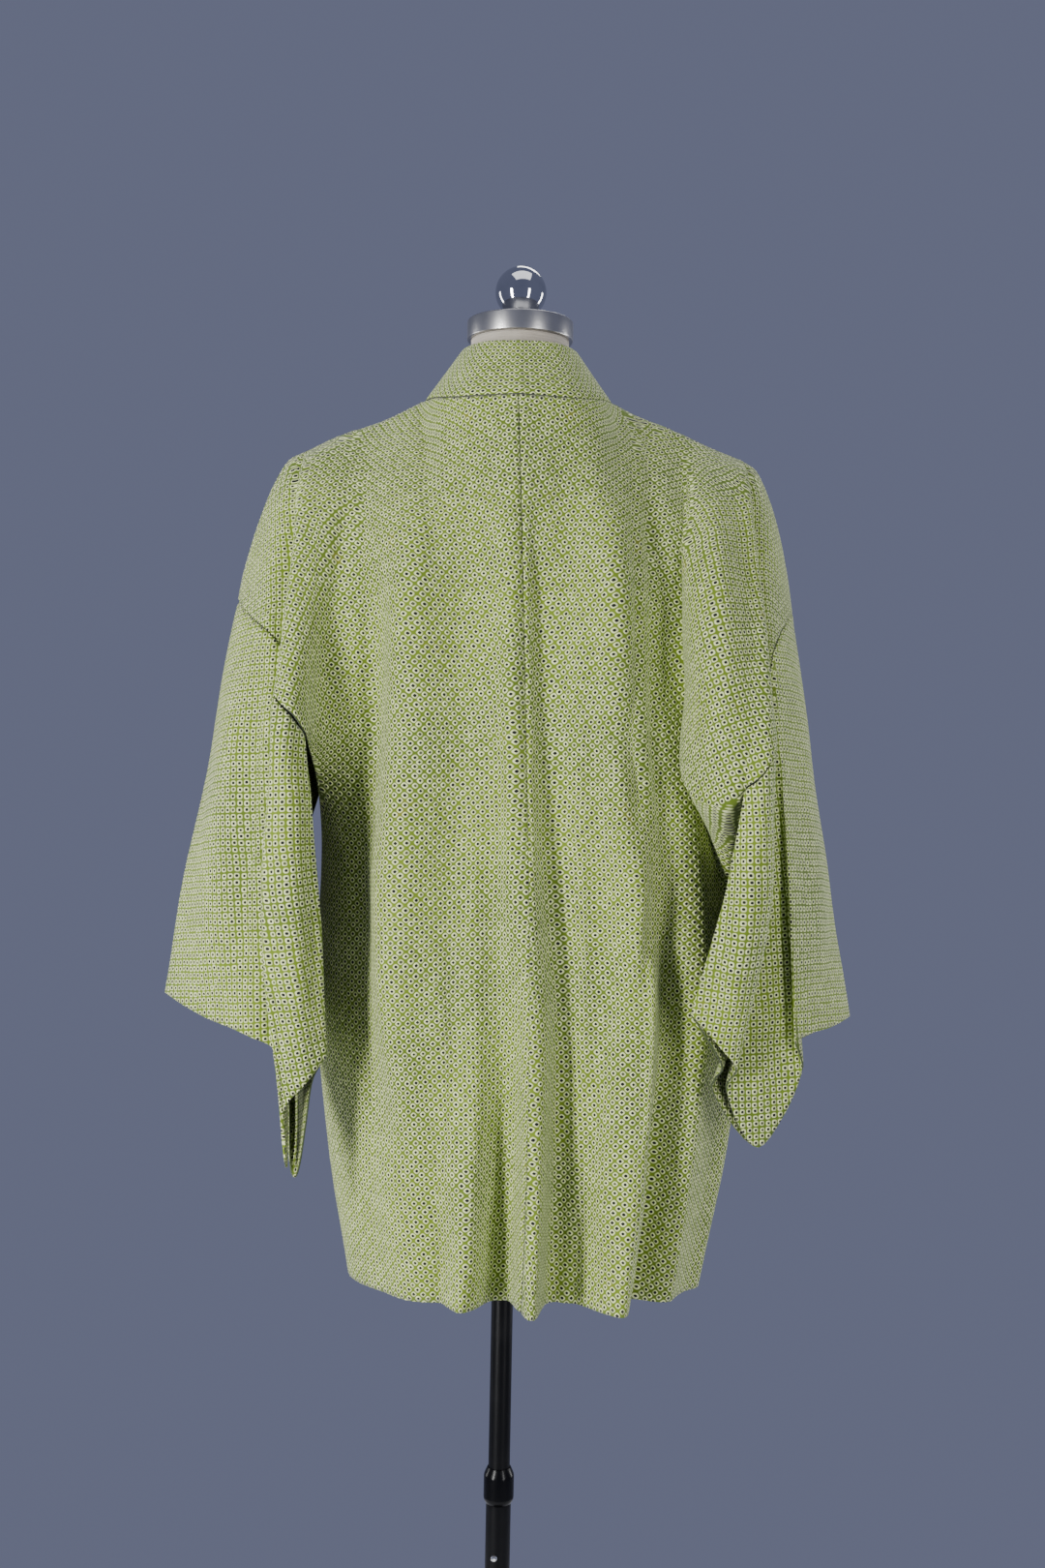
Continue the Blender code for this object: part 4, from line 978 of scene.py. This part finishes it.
# height and place across at a crease's top, middle and low end, then its width and rise
BACK_CREASES = (
    (1.400, -0.0780, 1.271, -0.0867, 0.960, -0.0950, 0.015, 0.0062),
    (1.390, -0.0440, 1.230, -0.0440, 1.020, -0.0400, 0.016, -0.0040),
    (1.370, 0.0000, 1.193, 0.0030, 0.980, 0.0080, 0.010, 0.0046),
    (1.390, 0.0160, 1.193, 0.0270, 0.960, 0.0450, 0.011, -0.0075),
    (1.400, 0.0760, 1.218, 0.0932, 1.020, 0.1260, 0.014, 0.0066),
    (1.330, 0.0620, 1.130, 0.0700, 0.900, 0.0820, 0.012, -0.0045),
    (1.395, 0.1080, 1.300, 0.1260, 1.190, 0.1350, 0.010, -0.0068),
    (1.410, 0.1270, 1.340, 0.1450, 1.230, 0.1560, 0.010, 0.0034),
    (1.400, -0.1440, 1.330, -0.1480, 1.200, -0.1540, 0.009, -0.0062),
    (1.400, -0.1640, 1.300, -0.1700, 1.150, -0.1800, 0.009, 0.0030),
    (1.380, -0.1900, 1.300, -0.1960, 1.200, -0.2080, 0.007, -0.0045),
    (1.330, -0.1120, 1.200, -0.1160, 1.060, -0.1200, 0.011, -0.0048),
    (1.120, -0.1300, 0.960, -0.1200, 0.820, -0.0980, 0.013, -0.0075),
    (1.020, -0.0600, 0.900, -0.0500, 0.760, -0.0420, 0.010, 0.0046),
    (0.980, 0.0900, 0.880, 0.0880, 0.740, 0.0840, 0.011, 0.0050),
    (1.060, 0.1180, 0.930, 0.1140, 0.800, 0.1100, 0.009, -0.0058),
)
FRONT_CREASES = (
    (1.380, -0.1180, 1.230, -0.1140, 1.000, -0.1120, 0.013, 0.0040),
    (1.360, -0.1480, 1.250, -0.1400, 1.080, -0.1360, 0.011, -0.0040),
    (1.370, 0.1170, 1.220, 0.1190, 0.980, 0.1280, 0.014, 0.0042),
    (1.350, 0.1420, 1.240, 0.1490, 1.090, 0.1560, 0.010, -0.0042),
    (1.020, -0.1280, 0.900, -0.1240, 0.760, -0.1220, 0.012, 0.0030),
    (1.000, 0.1500, 0.880, 0.1460, 0.750, 0.1400, 0.012, -0.0034),
)


def body_piece(side):
    grids = body_grids(side)
    guesses, patches = [], []
    for n, grid in enumerate(grids):
        front = n >= 2
        across = run_lengths(grid, 0) + (NECK_HALF if front else 0.0)
        down = run_lengths(grid, 1)
        if n % 2:
            down = down + run_lengths(grids[n - 1], 1)[:len(grid), -1:]
        guesses.append(np.stack([across, down if front else -down], axis=2))
    flats = flat_panel(grids, guesses, lambda ids: np.append(ids[0][0], ids[1][0][1:]))
    for n, (grid, flat) in enumerate(zip(grids, flats)):
        fine, front = smooth_grid(grid), n >= 2
        lift = crease_height(fine, FRONT_CREASES if front else BACK_CREASES) + unevenness(fine, 5)
        if not front:
            lift *= ease(run_lengths(fine, 0) / SEAM_CALM)
            lift[0] -= STITCH_PULL
        patches.append((fine, smooth_grid(flat), SIDES[side] * (1.0 if front else -1.0), lift))
    sew("body_" + side, patches, lining_silk, flats)


for side in SIDES:
    body_piece(side)

# %% [markdown]
# ## Sleeves
# A sleeve is a rectangle of cloth folded over the arm line and sewn to the shoulder drop. Its
# inner edge is left open, and its lower edge is closed near the body. Empty sleeves fall into
# a few deep folds from the seam. The cloth hangs askew from the drop, so the rows of dots are
# turned against the seam line by the angle below.

# %% Creases and grain of the sleeves
GRAIN = math.radians(33.0)
GRAIN_COS, GRAIN_SIN = math.cos(GRAIN), math.sin(GRAIN)
SLEEVE_CALM = 0.012
# how fast a face's creases fade out at the outer fold
OUTER_FADE = 14
# the same numbers as for the body, first for a sleeve's back and then for its front
SLEEVE_CREASES = {
    "left": (
        ((1.245, -0.2380, 1.110, -0.2480, 0.960, -0.2560, 0.016, 0.0060),
         (1.245, -0.2140, 1.090, -0.2200, 0.960, -0.2200, 0.010, -0.0060),
         (1.180, -0.2700, 1.090, -0.2780, 1.000, -0.2860, 0.008, -0.0024),
         (1.160, -0.1730, 1.040, -0.1700, 0.930, -0.1650, 0.007, 0.0022),
         (1.130, -0.1630, 1.050, -0.1590, 0.960, -0.1560, 0.005, -0.0018)),
        ((1.240, -0.2080, 1.120, -0.2150, 1.000, -0.2180, 0.011, 0.0030),
         (1.230, -0.2400, 1.110, -0.2540, 0.990, -0.2620, 0.012, -0.0030)),
    ),
    "right": (
        ((1.120, 0.1920, 1.040, 0.1870, 0.965, 0.1790, 0.007, 0.0028),
         (1.090, 0.1780, 1.020, 0.1690, 0.955, 0.1640, 0.006, -0.0024),
         (1.240, 0.2460, 1.110, 0.2590, 0.985, 0.2680, 0.010, 0.0032),
         (1.220, 0.2610, 1.100, 0.2750, 0.990, 0.2840, 0.009, -0.0026)),
        ((1.240, 0.2220, 1.120, 0.2330, 1.000, 0.2400, 0.011, 0.0030),
         (1.230, 0.2500, 1.110, 0.2640, 0.990, 0.2720, 0.012, -0.0030)),
    ),
}


# %% Sleeve pieces
def sleeve_piece(side):
    grid = sleeve_grid(side)
    guess = np.stack([run_lengths(grid, 1), -run_lengths(grid, 0)], axis=2)
    flat, = flat_panel([grid], [guess], lambda ids: ids[0][:, 0])
    x, y = flat[..., 0], flat[..., 1]
    turned = np.stack([x * GRAIN_COS - y * GRAIN_SIN, y * GRAIN_COS + x * GRAIN_SIN], axis=-1)
    fine = smooth_grid(grid)
    share = np.linspace(0, 1, len(fine))[:, None]
    lift = unevenness(fine, 8)
    for near, creases in zip((share, 1 - share), SLEEVE_CREASES[side]):
        lift += crease_height(fine, creases) * ease((0.5 - near) * OUTER_FADE)
    lift *= ease(run_lengths(fine, 1) / SLEEVE_CALM)
    lift[:, 0] -= STITCH_PULL
    # The sleeve's inside takes the dotted silk that is darkened as painted shade.
    sew("sleeve_" + side, [(fine, smooth_grid(turned), -SIDES[side], lift)], painted_shade_inner_silk, [flat])


for side in SIDES:
    sleeve_piece(side)

# %% [markdown]
# ## Gussets and collar
# A narrow wedge of cloth joins back and front at each side. The collar is a long band folded
# in two, which stands round the neck and runs down both front edges to the hem. The sheet
# here runs from the seam over the free edge and back to the seam, as the real band is folded.

# %% Gussets
GUSSET_LINES = 9
GUSSET_ROWS = 61
# how far below its top the wedge starts, the share of the way round that each seam takes, and
# how deep its stitches pull
WEDGE_START = 0.004
SEAM_SHARE = 0.0015
WEDGE_PULL = 0.0006


def gusset_piece(side):
    lines = []
    for t in np.linspace(0.0, 1.0, GUSSET_LINES):
        line = []
        for w in np.linspace(0.0, 1.0, GUSSET_ROWS):
            height = GUSSET_TOP - WEDGE_START + (HEM - GUSSET_TOP + WEDGE_START) * w
            low = side_share("back", height) + SEAM_SHARE
            high = side_share("front", height) - SEAM_SHARE
            line.append(body_point(SIDES[side], low + (high - low) * t, height))
        lines.append(line)
    grid = np.array(lines)
    places = np.stack([run_lengths(grid, 0), -run_lengths(grid, 1)], axis=2)
    lift = np.zeros(grid.shape[:2])
    lift[[0, -1]] -= WEDGE_PULL
    sew("gusset_" + side, [(grid, places, -SIDES[side], lift)], lining_silk, [places])


for side in SIDES:
    gusset_piece(side)


# %% Collar
# half the folded band's thickness, its folded width, and where its rounded free edge begins
BAND_HALF = 0.0011
BAND_WIDE = 0.055
FOLD_FROM = 0.04


def collar_piece(stations=301, round_fold=9):
    """The band from its sewn edge over the free edge and back, and its length."""
    last = len(COLLAR) - 1
    places = np.linspace(-last, last, stations)
    inner, sewn = (np.array([collar_edge("left" if a < 0 else "right", abs(a), edge)
                             for a in places]) for edge in ("inner", "sewn"))
    run, width = np.gradient(inner, axis=0), sewn - inner
    out = np.cross(width, run)
    out /= np.linalg.norm(out, axis=1)[:, None]
    face = [(w, BAND_HALF if w < 0.98 else 0.0006) for w in np.linspace(1.028, FOLD_FROM, 14)]
    turns = np.linspace(0.0, math.pi, round_fold)[1:-1]
    fold = [(FOLD_FROM - BAND_HALF / BAND_WIDE * math.sin(turn), BAND_HALF * math.cos(turn))
            for turn in turns]
    section = face + fold + [(w, -off) for w, off in reversed(face)]
    grid = np.array([inner + width * w + out * off for w, off in section])
    step = np.linalg.norm(np.diff((inner + sewn) / 2, axis=0), axis=1)
    along = np.append(0.0, np.cumsum(step))
    flat = np.stack([run_lengths(grid, 0), -np.repeat(along[None], len(grid), axis=0)], axis=2)
    print("  collar", round(along[-1], 3), "m long")
    return sewn_sheet("collar_cloth", [(grid, flat, -1.0, np.zeros(grid.shape[:2]))], 0.0008,
                      [outer_silk, lining_silk, turned_edge]), float(along[-1])


cloths["collar"], collar_length = collar_piece()

# %% [markdown]
# ## The dress form
# Under the jacket is a padded form without arms or legs, covered in cream jersey. The cover
# is a smooth skin through the same rings as the solid. A knit shows as fine ribs of loops, so
# its relief is a wave round the body crossed by a finer one along the height.

# %% Jersey
def jersey_knit(name):
    knit = Finish(name, Roughness=0.9, Sheen_Weight=0.35, Sheen_Roughness=0.5)
    cut = knit.cut()
    ribs = knit.wave(cut, "X", 95.0, **{"Distortion": 0.6, "Detail Scale": 6.0})
    loops = knit.wave(cut, "Y", 130.0)
    cream, shaded, gaps = (0.720, 0.650, 0.530), (0.640, 0.565, 0.450), (0.30, 0.25, 0.18)
    colour = knit.mix(knit.noise(cut, 6.0, 3.0).step(0.3, 0.7), cream, shaded)
    colour = knit.mix(ribs * loops * 0.18, colour, gaps)
    return knit.feed(Base_Color=colour, Normal=knit.bump(ribs + loops * 0.6, 0.00035))


jersey = jersey_knit("cream_jersey")

# %% Rings of the form
# the jersey's flat cut is as wide as a tube of this radius
MEAN_RADIUS = 0.14
# the smooth curve through the rings is used where it stays this near the straight one
SMOOTH_NEAR = 0.004
# form: height, half width, half depth back and front, squareness
TORSO = (
    (0.800, 0.118, 0.072, 0.078, 2.2),
    (0.803, 0.128, 0.080, 0.086, 2.2),
    (0.840, 0.142, 0.088, 0.092, 2.3),
    (0.900, 0.147, 0.090, 0.096, 2.3),
    (0.980, 0.136, 0.084, 0.090, 2.3),
    (1.060, 0.116, 0.076, 0.086, 2.2),
    (1.120, 0.122, 0.082, 0.098, 2.2),
    (1.190, 0.136, 0.090, 0.112, 2.3),
    (1.240, 0.144, 0.094, 0.114, 2.4),
    (1.300, 0.152, 0.094, 0.094, 2.5),
    (1.360, 0.164, 0.078, 0.060, 2.3),
    (1.390, 0.165, 0.062, 0.044, 2.0),
    (1.410, 0.160, 0.052, 0.036, 1.9),
    (1.425, 0.1535, 0.044, 0.032, 1.8),
    (1.435, 0.1434, 0.040, 0.030, 1.75),
    (1.445, 0.1270, 0.037, 0.030, 1.7),
    (1.455, 0.1110, 0.036, 0.030, 1.7),
    (1.465, 0.0880, 0.037, 0.031, 1.8),
    (1.476, 0.0640, 0.039, 0.034, 1.9),
    (1.488, 0.0500, 0.041, 0.036, 2.0),
    (1.500, 0.0435, 0.0425, 0.039, 2.0),
    (1.5372, 0.0435, 0.0435, 0.0435, 2.0),
)


# %% Form cover
def open_mesh(mesh, reach):
    """A mesh open for work, with points closer than reach joined."""
    work = bmesh.new()
    work.from_mesh(mesh)
    bmesh.ops.remove_doubles(work, verts=work.verts, dist=reach)
    return work


def close_mesh(mesh, work, material):
    """Ends the work on a mesh and places it as an object."""
    work.to_mesh(mesh)
    work.free()
    mesh.materials.append(material)
    return placed(mesh.name, mesh)


def form_cover(around=128, steps=160):
    table = np.array(TORSO)
    knots, rings = table[:, 0], table[:, 1:]
    heights = np.unique(np.append(np.linspace(knots[0], knots[-1], steps), knots))
    rows = np.stack([np.interp(heights, knots, column) for column in rings.T], axis=1)
    smooth = curve(knots, rings, heights)
    rows = np.where(np.abs(smooth - rows) < SMOOTH_NEAR, smooth, rows)
    points, faces, flats = [], [], []
    for height, (half, back, front, power) in zip(heights, rows):
        for n in range(around + 1):
            a = 2 * math.pi * n / around - math.pi / 2
            c, s = math.cos(a), math.sin(a)
            x = half * math.copysign(abs(c) ** (2 / power), c)
            y = (front if s > 0 else back) * math.copysign(abs(s) ** (2 / power), s)
            points.append((x, y, height))
            flats.append((MEAN_RADIUS * n * 2 * math.pi / around, height))
    for k in range(len(heights) - 1):
        for n in range(around):
            v = k * (around + 1) + n
            faces.append((v, v + 1, v + around + 2, v + around + 1))
    mesh = bpy.data.meshes.new("form_cover")
    mesh.from_pydata(points, [], faces)
    layer = mesh.uv_layers.new(name="cut")
    for loop in mesh.loops:
        layer.data[loop.index].uv = flats[loop.vertex_index]
    work = open_mesh(mesh, 1e-6)
    for ring in (knots[0], knots[-1]):
        edge = [e for e in work.edges
                if e.is_boundary and all(abs(v.co.z - ring) < 1e-6 for v in e.verts)]
        bmesh.ops.contextual_create(work, geom=edge)
    bmesh.ops.recalc_face_normals(work, faces=work.faces)
    for face in work.faces:
        face.smooth = len(face.verts) < 10
    return close_mesh(mesh, work, jersey)


cover = form_cover()
print("form cover", len(cover.data.polygons), "faces")

# %% [markdown]
# ## Metal and painted parts
# The cap on the neck is turned steel, brushed round its rim. The ball is polished. Tubes, lock
# and base are painted black. All of them are solids of revolution: a profile of radius and
# height spun round the pole. Brushing is a noise stretched round the axis, which draws the
# light into bands, and the paint has a faint grain and a little dust.

# %% Metals and paint
def turned_metal(name, colour, dark, rough, streak):
    """Metal with fine tool marks round the axis."""
    metal = Finish(name, Metallic=1.0)
    place = metal.place()
    marks = metal.noise(metal.vector("MULTIPLY", place, (30.0, 30.0, 2600.0)), 1.0, 3.0)
    smudge = metal.noise(place, 60.0, 3.0)
    shade = metal.mix(smudge.step(0.35, 0.75) * 0.5 + marks * streak, colour, dark)
    roughness = rough + marks * (rough * 0.5) + smudge * (rough * 0.35)
    relief = metal.bump(marks, 0.00004 * streak)
    return metal.feed(Base_Color=shade, Roughness=roughness, Normal=relief)


def black_paint(name, rough=0.36):
    """Satin black paint with a faint orange-peel."""
    paint = Finish(name, Specular_IOR_Level=0.22)
    place = paint.place()
    dust = paint.noise(place, 18.0, 4.0).step(0.45, 0.8)
    colour = paint.mix(dust * 0.3, (0.0015, 0.0015, 0.0018), (0.012, 0.012, 0.013))
    return paint.feed(Base_Color=colour, Roughness=rough + dust * 0.12,
                      Normal=paint.bump(paint.noise(place, 700.0), 0.00006))


steel, dark_steel = (0.60, 0.59, 0.57), (0.36, 0.36, 0.36)
chrome, dark_chrome = (0.66, 0.67, 0.69), (0.52, 0.53, 0.56)
brushed_steel = turned_metal("brushed_steel", steel, dark_steel, 0.22, 0.5)
polished_ball = turned_metal("polished_chrome", chrome, dark_chrome, 0.035, 0.02)
pole_paint = black_paint("pole_paint")
base_paint = black_paint("base_paint", 0.45)


# %% Spun profiles
SHARP = math.radians(32)


def spun(name, profile, around, material):
    """Solid of revolution round the pole from (radius, height) points."""
    points, faces = [], []
    for k, (radius, height) in enumerate(profile):
        for n in range(around):
            a = 2 * math.pi * n / around
            points.append((radius * math.cos(a), radius * math.sin(a), height))
            m, j = (n + 1) % around, (k + 1) % len(profile)
            faces.append((k * around + n, k * around + m, j * around + m, j * around + n))
    mesh = bpy.data.meshes.new(name)
    mesh.from_pydata(points, [], faces)
    work = open_mesh(mesh, 1e-7)
    bmesh.ops.dissolve_degenerate(work, dist=1e-7, edges=work.edges)
    bmesh.ops.recalc_face_normals(work, faces=work.faces)
    for edge in work.edges:
        angle = edge.calc_face_angle(0.0)
        edge.smooth = len(edge.link_faces) == 2 and angle < SHARP
    for face in work.faces:
        face.smooth = True
    return close_mesh(mesh, work, material)


def rounded(corners, radius, steps=4):
    """A profile whose inner corners are rounded."""
    out = [corners[0]]
    for before, here, after in zip(corners, corners[1:], corners[2:]):
        one, two = np.subtract(before, here), np.subtract(after, here)
        cut = min(radius, 0.45 * np.linalg.norm(one), 0.45 * np.linalg.norm(two))
        one, two = one / np.linalg.norm(one) * cut, two / np.linalg.norm(two) * cut
        out += [tuple(here + one * (1 - t) ** 2 + two * t ** 2)
                for t in np.linspace(0.0, 1.0, steps + 1)]
    return out + [corners[-1]]


def pipe(bore, radius, low, high):
    return [(bore, low), (radius, low), (radius, high), (bore, high)]


# %% Cap and ball
CAP_LOW = 1.5375
CAP_HIGH = 1.5545
CAP_R = 0.0470
BALL_R = 0.0228
BALL_MID = 1.5812
NECK_R = 0.0078
hard = {}
cap = rounded(pipe(0.0, CAP_R, CAP_LOW, CAP_HIGH), 0.0011)
hard["neck_cap"] = spun("steel_neck_cap", cap, 128, brushed_steel)
neck = [(0.0, CAP_HIGH + 0.0002), (0.0092, CAP_HIGH + 0.0002), (0.0092, CAP_HIGH + 0.0012),
        (NECK_R, CAP_HIGH + 0.0018)]
turns = np.linspace(math.pi - math.asin(NECK_R / BALL_R), 0.0, 40)
ball = neck + [(BALL_R * math.sin(a), BALL_MID + BALL_R * math.cos(a)) for a in turns]
hard["ball_finial"] = spun("polished_ball_finial", ball, 96, polished_ball)
print("ball", round(BALL_R * 2000, 1), "mm across")

# %% Tubes, lock and base
TUBE_R = 0.0110
TUBE_BORE = 0.0098
MAST_R = 0.0095
MAST_BORE = 0.0078
MAST_LOW = 0.250
MAST_HIGH = 1.100
LOCK_R = 0.0134
LOCK_LOW = 0.507
LOCK_HIGH = 0.539
BASE_R = 0.180
BASE_T = 0.012
SOCKET_HIGH = BASE_T + 0.0300
FIT = 0.0003
mast = pipe(MAST_BORE, MAST_R, MAST_LOW, MAST_HIGH)
hard["mast"] = spun("black_mast", mast, 64, pole_paint)
tube = pipe(TUBE_BORE, TUBE_R, BASE_T + 0.0303, LOCK_LOW - FIT)
hard["lower_tube"] = spun("black_lower_tube", tube, 64, pole_paint)
lock = [(TUBE_BORE, LOCK_LOW), (LOCK_R - 0.0022, LOCK_LOW), (LOCK_R, LOCK_LOW + 0.004),
        (LOCK_R, LOCK_HIGH - 0.0065), (LOCK_R - 0.0030, LOCK_HIGH), (TUBE_BORE, LOCK_HIGH)]
lock_paint = black_paint("lock_paint", 0.24)
hard["lock_collar"] = spun("black_lock_collar", rounded(lock, 0.0022, 6), 64, lock_paint)
foot = [(0.0, 0.0), (BASE_R, 0.0), (BASE_R, BASE_T - 0.003), (BASE_R - 0.004, BASE_T),
        (0.030, BASE_T + 0.003), (0.020, BASE_T + 0.008), (0.0185, SOCKET_HIGH),
        (0.0, SOCKET_HIGH)]
hard["base"] = spun("black_base", rounded(foot, 0.0016, 5), 128, base_paint)

# %% Stop screw
SCREW_OUT = -0.003
SCREW_HEIGHT = 0.462
screw_metal = turned_metal("screw_chrome", (0.85, 0.85, 0.84), (0.6, 0.6, 0.6), 0.12, 0.1)
head = [(0.0, 0.0), (0.0026, 0.0002), (0.0029, 0.0010), (0.0022, 0.0020), (0.0009, 0.0024),
        (0.0, 0.0017)]
screw = spun("round_stop_screw", head, 40, screw_metal)
for vertex in screw.data.vertices:
    x, y, z = vertex.co
    vertex.co = (x + SCREW_OUT, -TUBE_R - 0.0001 - z, y + SCREW_HEIGHT)
hard["stop_screw"] = screw
screw.data.update()
print("hard pieces:", sorted(hard))

# %% [markdown]
# ## Joining the pieces to the frame
# Each piece rides on a body of the frame and stands for one solid, so it moves with the stand's
# height slide and with the form's turn.

# %% Riding and replacing
behaviour = frame["record"]["behaviour"]
bodies = {node: body for body, nodes in behaviour["bodies"].items() for node in nodes}
for node, piece in {**cloths, **hard, "torso": cover}.items():
    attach(piece, bodies[node])
    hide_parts(node)

# %% Piece under each cloth piece
for name, (width, length, area) in cuts.items():
    body = "form_cover" if name.startswith("body") else "body_" + name.split("_")[1] + "_cloth"
print("cloth pieces:", sorted(cloths))

# %% [markdown]
# ## The studio
# The form stands on a round pale floor in even, cool grey air, which looks the same from every
# side. Four tall narrow lamps stand round it at the height of the jacket. Two are about 40
# degrees off the camera and light the back, and two stand a little beyond the form's sides and
# graze the sleeves. Their reflections are the upright streaks on the steel. A wide lamp above
# fills the tops of the folds, and another high up lights the front.

# %% Floor
FLOOR_RADIUS = 0.95
FLOOR_GREY = (0.70, 0.70, 0.72)
paint = Finish("floor_paint", Roughness=0.8)
grain = paint.noise(paint.place(), 4.0, 4.0).step(0.3, 0.7) * 0.12
paint.feed(Base_Color=paint.mix(grain, FLOOR_GREY, tuple(c * 0.8 for c in FLOOR_GREY)))
rim = [(FLOOR_RADIUS * math.cos(a), FLOOR_RADIUS * math.sin(a), 0.0)
       for a in np.linspace(0, 2 * math.pi, 129)[:-1]]
mesh = bpy.data.meshes.new("floor")
mesh.from_pydata(rim, [], [list(range(len(rim)))])
mesh.materials.append(paint.material)
placed("floor", mesh)


# %% Lamps
def lamp(name, place, target, size, power):
    data = bpy.data.lights.new(name, "AREA")
    data.shape = "RECTANGLE"
    data.size, data.size_y = size
    data.energy = power
    made = placed(name, data)
    made.location = place
    aim = Vector(target) - Vector(place)
    made.rotation_euler = aim.to_track_quat("-Z", "Y").to_euler()


# tall lamps: the angle round from the camera's side, distance, width and power
TALL_LAMPS = {
    "lamp_behind_left": (-108.0, 1.5, 0.22, 7.0),
    "lamp_left": (-42.0, 1.6, 0.24, 35.0),
    "lamp_right": (38.0, 1.6, 0.24, 12.0),
    "lamp_behind_right": (112.0, 1.5, 0.22, 9.0),
}
middle = (0.0, 0.0, 1.05)
for name, (turn, away, width, power) in TALL_LAMPS.items():
    a = math.radians(turn)
    place = (away * math.sin(a), -away * math.cos(a), middle[2])
    lamp(name, place, middle, (width, 1.4), power)
lamp("lamp_above", (0.1, -0.5, 2.9), middle, (1.6, 1.2), 9.0)
lamp("lamp_far_side", (0.4, 1.9, 3.3), (0.0, 0.0, 1.2), (1.2, 0.8), 16.0)
world = bpy.data.worlds.new("studio_air")
bpy.context.scene.world = world
world.use_nodes = True
air = world.node_tree.nodes["Background"].inputs
air["Color"].default_value = (0.62, 0.68, 1.05, 1.0)
air["Strength"].default_value = 0.21
